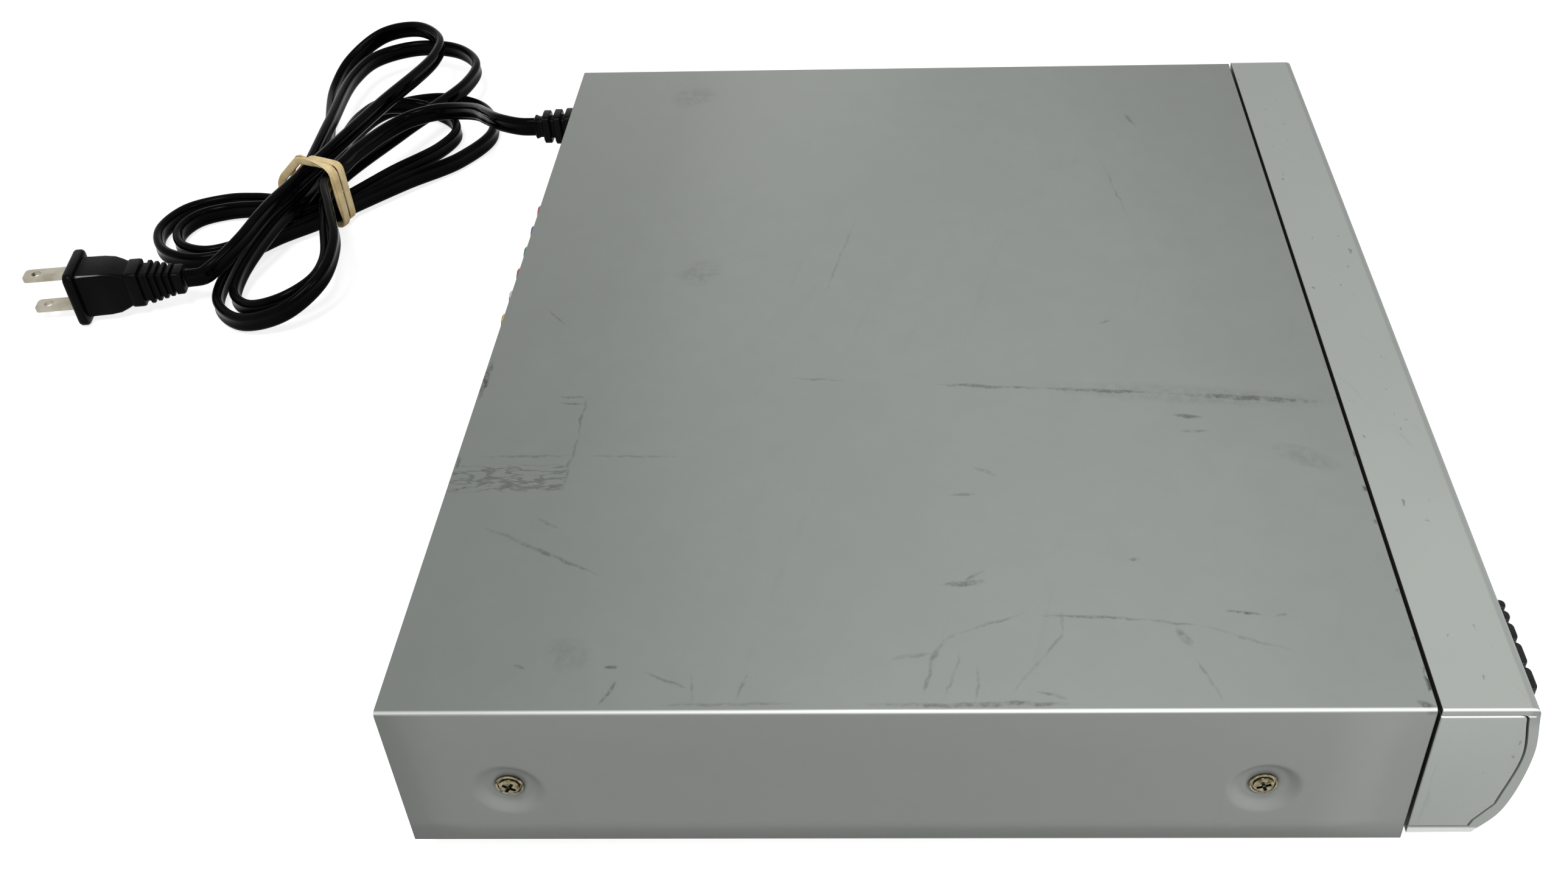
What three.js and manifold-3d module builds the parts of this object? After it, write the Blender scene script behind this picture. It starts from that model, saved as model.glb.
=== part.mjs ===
// A disc player: folded steel case, moulded front, tray loader with its gears and
// laser sled, boards, and a mains lead folded into a hank. Millimetres, +Z up,
// front towards -Y. Pieces are placed from the cover's front edge, y = 0.
import * as THREE from "three";
import { mergeVertices } from "three/addons/utils/BufferGeometryUtils.js";
import Module from "manifold-3d";

const wasm = await Module();
wasm.setup();

// Driving dimensions
const width = 310;
const coverDepth = 238.6;
const coverHeight = 46.5;
const gap = 0.3;
const overrun = 1;

const foot = {
  height: 6.7, radius: 10.5, soleRadius: 9.5, soleBevel: 1.2,
  sideInset: 35, frontInset: 20, rearInset: 33.6, pin: 2.2, pinRise: 2.6,
};
const cover = { sheet: 0.8, fold: 1.2, tabWidth: 14, tabDrop: 11, tabInset: 45 };
const dish = { radius: 9, flat: 5.4, depth: 1.5, rise: 19, frontInset: 34.9, rearInset: 26.2, sides: 14 };
const screw = { head: 3.4, headHeight: 1.1, crown: 2.2, shank: 1.3, length: 6 };
const pan = {
  sheet: 1, flangeSheet: 0.8, flangeHeight: 30, frontSetback: 0.3, post: 3,
  ventLength: 18, ventWidth: 2.6, ventPitch: 6, ventCount: 9, ventInset: 26, ventSetback: 70,
};
const panel = { sheet: 1, ventHeight: 14, ventWidth: 2.6, ventPitch: 6, ventCount: 12, ventRise: 20, ventInset: 30 };

// The front's section, as reach ahead of the cover's edge and rise above its lower edge
const front = {
  seam: 0.9, skin: 2.5, lid: 1.9, capThickness: 2, underRise: 2.2, segments: 5,
  crown: 20.5, brow: 22.9, browRise: 44.7, bulge: 24.6, bulgeRise: 30.5,
  jaw: 21.6, jawRise: 10.2, chin: 16.4,
  tongueReach: 8, tongueThickness: 1.6, tongueInset: 15, tongueClear: 11,
};
const slot = { clear: 1, low: 21.3, high: 39 };
const display = { inset: 21, doorClear: 11, low: 26, high: 38, boardLap: 1.6 };
const standby = { inset: 11, rise: 31, radius: 4.5, collar: 5.6, proud: 0.6, setback: 0.7 };
const keyPitches = [7.75, 7.8, 6.3, 4.1, 3.4];
const key = { inset: 10.2, split: 0.6, low: 34.6, high: 40.5, proud: 1.7, nose: 2.4, collar: 1.2, collarLip: 1.1 };
const frontBoard = { sheet: 1.6, setback: 12, low: 8, high: 42, boss: 2.4, switchDepth: 3, switchSide: 4, travel: 0.9 };
const keyBoardLength = 46;

const board = { sheet: 1.6, postHeight: 11.7, postInset: 6 };
const mainBoard = { sideInset: 51.6, powerClear: 4.9, loaderClear: 8.2 };
const powerBoard = { inset: 7, width: 42, depth: 172, rearSetback: 6 };
const jack = {
  count: 6, pitch: 13, endInset: 8, rise: 23.5, radius: 4.2, bore: 1.7, boreDepth: 9, reach: 9,
  blockMargin: 6, blockDepth: 20, blockHeight: 17,
};
const transformer = { length: 34, width: 32, height: 24, coreLength: 15, bobbinInset: 4 };
const capacitor = { radius: 8, height: 25, neck: 7.4, neckRise: 3, neckHeight: 1.6, crown: 7 };
const sink = { length: 36, depth: 13, height: 22, spine: 2.4, fin: 1.4, finCount: 7 };
const chip = { sideShare: 11 / 28, height: 1.5, jackClear: 26 };

// Places along the power board, from its front end, as shares of its depth
const powerShares = { sink: 0.05, transformer: 0.29, capacitor: 0.5 };

// Loader: tray, gears, traverse and clamp, about the disc's centre
const disc = { setback: 50, recess: 61, smallRecess: 41 };
const tray = {
  halfWidth: 66, thickness: 6, corner: 4, recessDepth: 3, smallDepth: 0.8, slotHalf: 17.5,
  travel: 135, tail: 6, sill: 4.7, faceClear: 0.5,
};
const frame = {
  wall: 2.4, side: 0.6, front: 3, behind: 9, traverseClear: 1, running: 0.4, ledge: 5.6, ledgeThickness: 2.2,
  lip: 2, lipThickness: 1.6, wallRise: 1, shelfDepth: 30, shelfThickness: 1.5, shelfRise: 10.7,
  rearWall: 2, hingeBlockLength: 10, hingeBlockInset: 24.6, hingeBlockRise: 6.5,
};
const rack = { setIn: 8, web: 3, height: 4.3, front: 10, tail: 6, module: 1, clearShare: 0.3 };
const gear = {
  addendumShare: 0.8, dedendumShare: 1.1, rootShare: 1.45, tipShare: 0.5, play: 0.15, backlash: 0.22, line: 16,
  driveTeeth: 16, wheelTeeth: 32, pinionTeeth: 12, wheelModule: 0.8,
  driveHeight: 3.9, wheelHeight: 3.2, post: 1.5, bore: 1.8, hub: 3.4, hubRise: 4.2,
};
const pulley = { radius: 11, groove: 10, flange: 1, grooveHeight: 1.6, motorRadius: 4, motorGroove: 3, motorX: 10 };
const belt = { thickness: 1, segments: 8 };
const motor = { radius: 12, height: 10, shaft: 1, boss: 3, bossHeight: 1 };
const cam = { thickness: 3, height: 12.8, railHeight: 1.6, railLip: 2.1, left: 45, right: 32, travel: 18, slope: 3, pinLeft: 20, pinRight: 24 };
const traverse = { halfWidth: 38, thickness: 2, front: 37.6, behind: 12, pin: 1.4, hingePin: 2, hingeSetback: 4, window: 14 };
const spindle = { motorRadius: 13, motorHeight: 6, shaft: 1.2, seat: 14, seatHeight: 37.2, seatThickness: 2.4, cone: 7.4, coneTop: 40, tip: 4.6 };
const sled = { front: 66, length: 28, halfWidth: 26, height: 9, arm: 8, armLength: 12, travel: 36, lens: 4, lensSetback: 8, lensHeight: 4.2, lensCell: 6, shoulderShare: 0.8, crownShare: 0.6 };
const rail = { radius: 1.5, x: 20, front: 61, tail: 8, rise: 4.5, block: 6, blockLength: 5, blockRise: 8 };
const lead = { screw: 1.5, x: 31, rise: 6.1, motorRadius: 5.7, motorFront: 44, motorLength: 18, tail: 2, bearing: 3 };
const clamp = { bridgeRise: 2.5, bridge: 1.5, bridgeDepth: 40, radius: 13, hole: 13.6, flange: 15.5, flangeHeight: 1.2, puckBottom: 38.7, hollow: 8.4, hollowTop: 40.6 };

// Mains lead: a flat twin cord
const cord = { broad: 7, thin: 3.6, flatShare: 0.66 };
const relief = {
  inset: 15, rise: 32, width: 9.6, height: 12.4, rib: 2.9, groove: 1.4, grooveDepth: 2, ribCount: 3,
  taper: 0.5, nose: 2, neckWidth: 7.2, neckHeight: 9.6, inside: 7.5, insideWidth: 9, insideHeight: 11.4, corner: 2,
};
const plug = {
  x: 78.5, y: 414.5, z: 11, yawDegrees: 7.8, flangeWidth: 20, flangeHeight: 21.5, flangeThickness: 3.5,
  bodyWidth: 13.4, bodyHeight: 17.4, bodyLength: 15.3, ridge: 1, collarWidth: 11.8, collarHeight: 14, collarLength: 6.4,
  tailLength: 12.25, tailWidth: 8, tailHeight: 9, tailRibs: 3, tailGroove: 1.2, corner: 2.4,
  bladeWidth: 6.35, bladeThickness: 1.5, bladeLength: 16, bladeRoot: 6, bladeSpacing: 12.7, bladeHole: 1.6, bladeHoleReach: 11.7,
};
const band = { width: 5.5, thickness: 1, corner: 2, slack: 3.2, angleDegrees: -24 };

// Places that follow from the sizes above
const half = width / 2;
const floorUnder = foot.height + gap;
const floorTop = floorUnder + pan.sheet;
const coverTop = floorUnder + coverHeight;
const ceiling = coverTop - cover.sheet;
const flangeOut = half - dish.depth - cover.sheet - gap;
const flangeIn = flangeOut - pan.flangeSheet;
const panelBack = coverDepth - cover.sheet - gap;
const panelFront = panelBack - panel.sheet;
const boardUnder = floorTop + board.postHeight + gap;
const boardTop = boardUnder + board.sheet;
const fromCover = rise => floorUnder + rise;
const slotLow = fromCover(slot.low);
const slotHigh = fromCover(slot.high);
const trayUnder = slotLow + tray.sill;
const trayTop = trayUnder + tray.thickness;
const slotHalf = tray.halfWidth + slot.clear;
const rackRear = gear.line + tray.travel + rack.tail;
const trayRear = rackRear + tray.tail;
const railRear = sled.front + sled.length + sled.travel + rail.tail;
const leadRear = railRear - lead.tail;
const traverseRear = railRear + traverse.behind;
const frameRear = Math.max(trayRear, traverseRear + frame.traverseClear) + frame.behind;

const X = new THREE.Vector3(1, 0, 0);
const Y = new THREE.Vector3(0, 1, 0);
const Z = new THREE.Vector3(0, 0, 1);

// A closed three.js geometry as a solid that can be joined and cut
function solid(geometry) {
  geometry.deleteAttribute("normal");
  geometry.deleteAttribute("uv");
  const merged = mergeVertices(geometry);
  return new wasm.Manifold(new wasm.Mesh({
    numProp: 3,
    vertProperties: new Float32Array(merged.attributes.position.array),
    triVerts: new Uint32Array(merged.index.array),
  }));
}

function block([x0, x1], [y0, y1], [z0, z1]) {
  const box = new THREE.BoxGeometry(x1 - x0, y1 - y0, z1 - z0);
  box.translate((x0 + x1) / 2, (y0 + y1) / 2, (z0 + z1) / 2);
  return solid(box);
}

function extruded(shape, depth, curveSegments) {
  return new THREE.ExtrudeGeometry(shape, { depth, steps: 1, bevelEnabled: false, curveSegments });
}

// An outline in y, z run along X
function prismX(shape, [x0, x1], curveSegments = 3) {
  const geometry = extruded(shape, x1 - x0, curveSegments);
  geometry.applyMatrix4(new THREE.Matrix4().makeBasis(Y, Z, X));
  geometry.translate(x0, 0, 0);
  return solid(geometry);
}

// An outline in x, z run along Y
function prismY(shape, [y0, y1], curveSegments = 3) {
  const geometry = extruded(shape, y1 - y0, curveSegments);
  geometry.applyMatrix4(new THREE.Matrix4().makeBasis(X, Z, Y.clone().negate()));
  geometry.translate(0, y1, 0);
  return solid(geometry);
}

// An outline in x, y raised along Z
function prismZ(shape, [z0, z1], curveSegments = 3) {
  const geometry = extruded(shape, z1 - z0, curveSegments);
  geometry.translate(0, 0, z0);
  return solid(geometry);
}

// A round bar along x, y or z, at the other two coordinates
function rod(axis, radius, [from, to], [a, b], sides = 20) {
  const cylinder = new THREE.CylinderGeometry(radius, radius, to - from, sides);
  const middle = (from + to) / 2;
  if (axis === "x") cylinder.rotateZ(-Math.PI / 2).translate(middle, a, b);
  if (axis === "y") cylinder.translate(a, middle, b);
  if (axis === "z") cylinder.rotateX(Math.PI / 2).translate(a, b, middle);
  return solid(cylinder);
}

// A turned profile of [radius, height] pairs, its heights running along a direction from a place
function turned(profile, sides, direction, place) {
  const points = profile.map(([radius, height]) => new THREE.Vector2(radius, height));
  const geometry = new THREE.LatheGeometry(points, sides);
  geometry.applyQuaternion(new THREE.Quaternion().setFromUnitVectors(Y, direction));
  geometry.translate(...place);
  return solid(geometry);
}

const join = (first, ...rest) => rest.reduce((whole, next) => whole.add(next), first);
const cut = (first, ...rest) => rest.reduce((whole, next) => whole.subtract(next), first);

function polygon(points) {
  return new THREE.Shape(points.map(([a, b]) => new THREE.Vector2(a, b)));
}

function roundedRect([a0, a1], [b0, b1], radius) {
  const shape = new THREE.Shape();
  shape.absarc(a1 - radius, b0 + radius, radius, -Math.PI / 2, 0);
  shape.absarc(a1 - radius, b1 - radius, radius, 0, Math.PI / 2);
  shape.absarc(a0 + radius, b1 - radius, radius, Math.PI / 2, Math.PI);
  shape.absarc(a0 + radius, b0 + radius, radius, Math.PI, 1.5 * Math.PI);
  return shape;
}

const about = (middle, halfSpan) => [middle - halfSpan, middle + halfSpan];

// Finishes, as colour, roughness and metalness
const finish = {
  coverPaint: [0x8f9391, 0.5, 0.3],
  silverPlastic: [0xa6a9a5, 0.45, 0.2],
  zincSteel: [0xa9aba8, 0.45, 0.7],
  smokedWindow: [0x0b0c0e, 0.15, 0],
  keyPlastic: [0x1a1b1d, 0.5, 0],
  rubber: [0x151515, 0.85, 0],
  screwSteel: [0x8f918f, 0.35, 0.9],
  circuitBoard: [0x1f5a36, 0.55, 0],
  greyPlastic: [0x3a3c3e, 0.55, 0],
  whitePlastic: [0xd8d6cf, 0.5, 0],
  brightSteel: [0xb7b9bb, 0.3, 0.95],
  copper: [0xb06a38, 0.4, 0.6],
  aluminium: [0xb4b7b9, 0.45, 0.8],
  chipPlastic: [0x1c1c1e, 0.6, 0],
  lensGlass: [0x6f86a8, 0.1, 0],
  cordVinyl: [0x0d0d0e, 0.38, 0],
  bladeMetal: [0xb9b4a6, 0.3, 0.9],
  bandRubber: [0xb59f7c, 0.75, 0],
};

const player = new THREE.Group();

function piece(name, shape, [color, roughness, metalness], parent = player) {
  const mesh = shape.getMesh();
  const geometry = new THREE.BufferGeometry();
  geometry.setAttribute("position", new THREE.BufferAttribute(mesh.vertProperties, 3));
  geometry.setIndex(new THREE.BufferAttribute(mesh.triVerts, 1));
  const part = new THREE.Mesh(geometry, new THREE.MeshStandardMaterial({ color, roughness, metalness }));
  part.name = name;
  parent.add(part);
  return part;
}

// The inverted U of the folded cover, closed at the top
function hatOutline() {
  const shape = new THREE.Shape();
  const inner = cover.fold - cover.sheet;
  shape.moveTo(-half, floorUnder);
  shape.lineTo(-half + cover.sheet, floorUnder);
  shape.absarc(-half + cover.fold, coverTop - cover.fold, inner, Math.PI, Math.PI / 2, true);
  shape.absarc(half - cover.fold, coverTop - cover.fold, inner, Math.PI / 2, 0, true);
  shape.lineTo(half - cover.sheet, floorUnder);
  shape.lineTo(half, floorUnder);
  shape.absarc(half - cover.fold, coverTop - cover.fold, cover.fold, 0, Math.PI / 2, false);
  shape.absarc(-half + cover.fold, coverTop - cover.fold, cover.fold, Math.PI / 2, Math.PI, false);
  return shape;
}

const dishHeight = fromCover(dish.rise);
const dishSetbacks = { front: dish.frontInset, rear: coverDepth - dish.rearInset };
const tabMiddles = [-half + cover.tabInset, half - cover.tabInset];
const tabScrewHeight = ceiling - cover.tabDrop / 2;

// Folded steel cover: dished seats for the side screws, two tabs down the back
function topCover() {
  let shape = prismY(hatOutline(), [0, coverDepth]);
  const hole = screw.shank + gap;
  const profile = [
    [hole, -dish.depth - cover.sheet], [dish.flat + cover.sheet / 2, -dish.depth - cover.sheet],
    [dish.radius + cover.sheet / 2, -cover.sheet], [dish.radius + cover.sheet, -cover.sheet],
    [dish.radius + cover.sheet, 0], [dish.radius, 0], [dish.flat, -dish.depth], [hole, -dish.depth],
    [hole, -dish.depth - cover.sheet],
  ];
  for (const side of [-1, 1]) {
    for (const y of Object.values(dishSetbacks)) {
      const place = [side * half, y, dishHeight];
      const outward = X.clone().multiplyScalar(side);
      const span = [half - cover.sheet - overrun, half + overrun].map(x => side * x).sort((a, b) => a - b);
      shape = cut(shape, rod("x", dish.radius + cover.sheet / 4, span, [y, dishHeight], dish.sides));
      shape = join(shape, turned(profile, dish.sides, outward, place));
    }
  }
  for (const x of tabMiddles) {
    const tab = roundedRect(about(x, cover.tabWidth / 2), [ceiling - cover.tabDrop, ceiling + cover.sheet / 2], cover.fold);
    shape = join(shape, prismY(tab, [coverDepth - cover.sheet, coverDepth]));
    const drilled = [coverDepth - cover.sheet - overrun, coverDepth + overrun];
    shape = cut(shape, rod("y", hole, drilled, [x, tabScrewHeight], 12));
  }
  return shape;
}

const footPlaces = {
  front_left: [-half + foot.sideInset, foot.frontInset],
  front_right: [half - foot.sideInset, foot.frontInset],
  rear_left: [-half + foot.sideInset, coverDepth - foot.rearInset],
  rear_right: [half - foot.sideInset, coverDepth - foot.rearInset],
};

const powerRight = flangeIn - powerBoard.inset + gap;
const powerSpan = {
  x: [powerRight - powerBoard.width, powerRight],
  y: [panelFront - powerBoard.rearSetback - powerBoard.depth, panelFront - powerBoard.rearSetback],
};
const mainSpan = {
  x: [-flangeIn + mainBoard.sideInset, powerSpan.x[0] - mainBoard.powerClear],
  y: [frameRear + mainBoard.loaderClear, panelFront - gap],
};
const powerPlace = share => powerSpan.y[0] + share * powerBoard.depth;

function cornersOf(span) {
  const xs = [span.x[0] + board.postInset, span.x[1] - board.postInset];
  const ys = [span.y[0] + board.postInset, span.y[1] - board.postInset];
  return xs.flatMap(x => ys.map(y => [x, y]));
}

// Steel pan: floor, side flanges, board posts, foot holes and vents
function chassisBase() {
  const floor = block([-flangeOut, flangeOut], [pan.frontSetback, panelBack], [floorUnder, floorTop]);
  let shape = floor;
  for (const side of [-1, 1]) {
    const xs = [side * flangeIn, side * flangeOut].sort((a, b) => a - b);
    shape = join(shape, block(xs, [pan.frontSetback, panelFront], [floorUnder, floorTop + pan.flangeHeight]));
    for (const y of Object.values(dishSetbacks)) {
      const span = about(side * (flangeIn + flangeOut) / 2, overrun);
      shape = cut(shape, rod("x", screw.shank + gap, span, [y, dishHeight], 12));
    }
  }
  for (const [x, y] of [...cornersOf(mainSpan), ...cornersOf(powerSpan)]) {
    shape = join(shape, rod("z", pan.post, [floorUnder + pan.sheet / 2, floorTop + board.postHeight], [x, y], 8));
  }
  for (const [x, y] of Object.values(footPlaces)) {
    shape = cut(shape, rod("z", foot.pin + gap, about(floorUnder, pan.sheet + overrun), [x, y], 10));
  }
  for (let k = 0; k < pan.ventCount; k += 1) {
    const x = -flangeIn + pan.ventInset + k * pan.ventPitch;
    const ys = [pan.ventSetback, pan.ventSetback + pan.ventLength];
    shape = cut(shape, block(about(x, pan.ventWidth / 2), ys, about(floorUnder, pan.sheet + overrun)));
  }
  return shape;
}

const jackXs = Array.from({ length: jack.count }, (_, k) => mainSpan.x[1] - jack.endInset - k * jack.pitch).reverse();
const jackHeight = fromCover(jack.rise);
const reliefX = half - relief.inset;
const reliefHeight = fromCover(relief.rise);

// Steel rear panel: holes for the jacks and the lead, a row of vents
function rearPanel() {
  const halfSpan = flangeIn - gap;
  let shape = block([-halfSpan, halfSpan], [panelFront, panelBack], [floorTop + gap, ceiling - gap]);
  const through = [panelFront - overrun, panelBack + overrun];
  for (const x of jackXs) {
    shape = cut(shape, rod("y", jack.radius + gap, through, [x, jackHeight], 12));
  }
  const leadHole = roundedRect(
    about(reliefX, relief.neckWidth / 2 + gap), about(reliefHeight, relief.neckHeight / 2 + gap), relief.corner);
  shape = cut(shape, prismY(leadHole, through));
  for (const x of tabMiddles) {
    shape = cut(shape, rod("y", screw.shank + gap, through, [x, tabScrewHeight], 12));
  }
  for (let k = 0; k < panel.ventCount; k += 1) {
    const x = -halfSpan + panel.ventInset + k * panel.ventPitch;
    const zs = [floorTop + panel.ventRise, floorTop + panel.ventRise + panel.ventHeight];
    shape = cut(shape, block(about(x, panel.ventWidth / 2), through, zs));
  }
  return shape;
}

// The front's section in y, z: flat top and bottom, full brow, bulged face, swept chin.
// skin and lid set it inside the outer face and inside the top and bottom.
function frontOutline(back, skin, lid) {
  const shape = new THREE.Shape();
  const top = coverTop - lid;
  const bottom = fromCover(front.underRise) + lid;
  shape.moveTo(back, top);
  shape.lineTo(-front.crown + skin, top);
  shape.quadraticCurveTo(-front.brow + skin, top, -front.brow + skin, fromCover(front.browRise) - lid);
  shape.splineThru([
    new THREE.Vector2(-front.bulge + skin, fromCover(front.bulgeRise)),
    new THREE.Vector2(-front.jaw + skin, fromCover(front.jawRise)),
    new THREE.Vector2(-front.chin + skin, bottom),
  ]);
  shape.lineTo(back, bottom);
  return shape;
}

function frontSkin() {
  const outer = prismX(frontOutline(-front.seam, 0, 0), [-half, half], front.segments);
  const past = half + overrun;
  return cut(outer, prismX(frontOutline(overrun, front.skin, front.lid), [-past, past], front.segments));
}

const keyLow = fromCover(key.low);
const keyHigh = fromCover(key.high);
const keyEdges = keyPitches.reduce((edges, pitch) => [...edges, edges.at(-1) + pitch], [-half + key.inset]);
const displaySpan = {
  x: [slotHalf + display.doorClear, half - display.inset],
  z: [fromCover(display.low), fromCover(display.high)],
};
const standbyPlace = [half - standby.inset, fromCover(standby.rise)];
const boardFace = -frontBoard.setback - frontBoard.sheet;
const boardRows = [fromCover(frontBoard.low), fromCover(frontBoard.high)];
const keyBoardXs = [-half + front.capThickness + 2 * gap, -half + front.capThickness + 2 * gap + keyBoardLength];
const displayBoardXs = [displaySpan.x[0] - display.boardLap, half - front.capThickness - 2 * gap];
const throughSkin = [-front.bulge - overrun, -front.bulge + 3 * front.skin];

// Moulded front: curved shell open to the rear, with the tray, key, window and
// button openings, board bosses and two tongues over the pan
function fascia() {
  let shape = frontSkin();
  const envelope = prismX(frontOutline(-front.seam, 0, 0), [-half, half], front.segments);
  shape = cut(shape, block(about(0, slotHalf + gap), throughSkin, [slotLow, slotHigh]));
  shape = cut(shape, block([keyEdges[0] - gap, keyEdges.at(-1)], throughSkin, [keyLow - gap, keyHigh + gap]));
  const [windowX, windowZ] = [displaySpan.x, displaySpan.z];
  shape = cut(shape, block([windowX[0] - gap, windowX[1] + gap], throughSkin, [windowZ[0] - gap, windowZ[1] + gap]));
  shape = cut(shape, rod("y", standby.radius + gap, throughSkin, standbyPlace, 24));
  for (const [x0, x1] of [keyBoardXs, displayBoardXs]) {
    for (const x of [x0 + 2 * frontBoard.boss, x1 - 2 * frontBoard.boss]) {
      const z = boardRows[0] + 2 * frontBoard.boss;
      const boss = rod("y", frontBoard.boss, [-front.bulge, boardFace - gap], [x, z], 12);
      shape = join(shape, boss.intersect(envelope));
    }
  }
  for (const side of [-1, 1]) {
    const ends = [wallOuter + front.tongueClear, half - front.tongueInset].map(x => side * x);
    const xs = ends.sort((a, b) => a - b);
    const low = fromCover(front.underRise);
    const plate = block(xs, [-front.chin / 2, front.tongueReach], [low, low + front.tongueThickness]);
    const pad = block(xs, [front.tongueReach / 2, front.tongueReach], [floorTop + gap, low + front.tongueThickness / 2]);
    shape = join(shape, plate, pad);
  }
  return shape;
}

// End plate that closes the shell, flush with its end
function endCap(side) {
  const ends = [half - front.capThickness, half].map(x => side * x).sort((a, b) => a - b);
  return prismX(frontOutline(-front.seam, front.skin + gap, front.lid + gap), ends, front.segments);
}

// The strip of the front that travels with the tray
function trayDoor() {
  const opening = block(about(0, slotHalf - gap), throughSkin, [slotLow + gap, slotHigh - gap]);
  return frontSkin().intersect(opening);
}

function displayWindow() {
  return frontSkin().intersect(block(displaySpan.x, throughSkin, displaySpan.z));
}

const switchFace = boardFace - frontBoard.switchDepth;

// One key: rounded nose, collar behind the skin, stem to its switch
function frontKey(index) {
  const xs = [keyEdges[index], keyEdges[index + 1] - key.split];
  const noseY = -front.bulge - key.proud + key.nose;
  const radius = Math.min(key.nose, (keyHigh - keyLow) / 2);
  const nose = roundedRect([noseY - key.nose, noseY + 2 * key.nose], [keyLow, keyHigh], radius);
  const collarFront = -front.bulge + front.skin + key.collar + gap;
  const stemBack = switchFace - frontBoard.travel;
  const body = block(xs, [noseY, collarFront + key.collar], [keyLow, keyHigh]);
  const collar = block(xs, [collarFront, collarFront + key.collar], [keyLow - key.collarLip, keyHigh + key.collarLip]);
  const middle = (keyLow + keyHigh) / 2;
  const stem = block(xs, [collarFront, stemBack], about(middle, frontBoard.switchSide / 2));
  return join(prismX(nose, xs), body, collar, stem);
}

function standbyButton() {
  const face = -front.bulge - standby.proud;
  const collarFront = -front.bulge + front.skin + standby.setback;
  const stemBack = switchFace - frontBoard.travel;
  const profile = [
    [0, 0], [frontBoard.switchSide / 2, 0], [frontBoard.switchSide / 2, stemBack - collarFront - key.collar],
    [standby.collar, stemBack - collarFront - key.collar], [standby.collar, stemBack - collarFront],
    [standby.radius, stemBack - collarFront], [standby.radius, stemBack - face - standby.proud / 2],
    [standby.radius - standby.proud, stemBack - face], [0, stemBack - face],
  ];
  const [x, z] = standbyPlace;
  return turned(profile, 18, Y.clone().negate(), [x, stemBack, z]);
}

// A board behind the front with one switch for each place pressed
function switchBoard(xs, presses) {
  let shape = block(xs, [boardFace, -frontBoard.setback], boardRows);
  for (const [x, z] of presses) {
    const side = frontBoard.switchSide / 2;
    const middle = boardFace + frontBoard.sheet / 2;
    const narrow = Math.min(side, (keyPitches.at(-1) - gap) / 2);
    shape = join(shape, block(about(x, narrow), [switchFace, middle], about(z, side)));
  }
  return shape;
}

const keyPresses = keyPitches.map((pitch, k) => [keyEdges[k] + (pitch - key.split) / 2, (keyLow + keyHigh) / 2]);

function footPiece([x, y]) {
  const profile = [
    [0, 0], [foot.soleRadius, 0], [foot.radius, foot.soleBevel], [foot.radius, foot.height],
    [foot.pin, foot.height], [foot.pin, foot.height + pan.sheet + foot.pinRise], [0, foot.height + pan.sheet + foot.pinRise],
  ];
  return turned(profile, 18, Z, [x, y, 0]);
}

function screwPiece(direction, place) {
  const profile = [
    [0, -screw.length], [screw.shank, -screw.length + screw.shank], [screw.shank, 0], [screw.head, 0],
    [screw.head, screw.headHeight / 2], [screw.crown, screw.headHeight], [0, screw.headHeight],
  ];
  return turned(profile, 12, direction, place);
}

// Boards, and what stands on them
function jackBlock() {
  const xs = [jackXs[0] - jack.blockMargin, jackXs.at(-1) + jack.blockMargin];
  const back = panelFront - gap;
  let shape = block(xs, [back - jack.blockDepth, back], [boardTop + gap, boardTop + gap + jack.blockHeight]);
  for (const x of jackXs) {
    const reach = coverDepth + jack.reach;
    shape = join(shape, rod("y", jack.radius, [back - overrun, reach], [x, jackHeight], 12));
    shape = cut(shape, rod("y", jack.bore, [reach - jack.boreDepth, reach + overrun], [x, jackHeight], 8));
  }
  return shape;
}

const powerMiddle = (powerSpan.x[0] + powerSpan.x[1]) / 2;

function transformerPiece() {
  const y = powerPlace(powerShares.transformer);
  const z = boardTop + gap;
  const core = block(about(powerMiddle, transformer.width / 2), about(y, transformer.coreLength / 2), [z, z + transformer.height]);
  const inset = transformer.bobbinInset;
  const bobbin = roundedRect(
    about(powerMiddle, transformer.width / 2 - inset), [z + inset, z + transformer.height - inset], inset);
  return join(core, prismY(bobbin, about(y, transformer.length / 2)));
}

function capacitorPiece() {
  const { radius, neck, neckRise, neckHeight, height, crown } = capacitor;
  const profile = [
    [0, 0], [radius, 0], [radius, neckRise], [neck, neckRise + neckHeight / 2],
    [radius, neckRise + neckHeight], [radius, height - (radius - crown)], [crown, height], [0, height],
  ];
  return turned(profile, 20, Z, [powerMiddle, powerPlace(powerShares.capacitor), boardTop + gap]);
}

// Extruded heat sink: one spine and a comb of fins
function heatSink() {
  const y = powerPlace(powerShares.sink);
  const zs = [boardTop + gap, boardTop + gap + sink.height];
  let shape = block(about(powerMiddle, sink.length / 2), [y, y + sink.spine], zs);
  const pitch = (sink.length - sink.fin) / (sink.finCount - 1);
  for (let k = 0; k < sink.finCount; k += 1) {
    const x = powerMiddle - sink.length / 2 + k * pitch;
    shape = join(shape, block([x, x + sink.fin], [y + sink.spine / 2, y + sink.depth], zs));
  }
  return shape;
}

function chipPiece() {
  const side = chip.sideShare * (mainSpan.y[1] - mainSpan.y[0]);
  const right = jackXs[0] - jack.blockMargin - chip.jackClear;
  const y = (mainSpan.y[0] + mainSpan.y[1]) / 2;
  return block([right - side, right], about(y, side / 2), [boardTop + gap, boardTop + gap + chip.height]);
}

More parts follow.
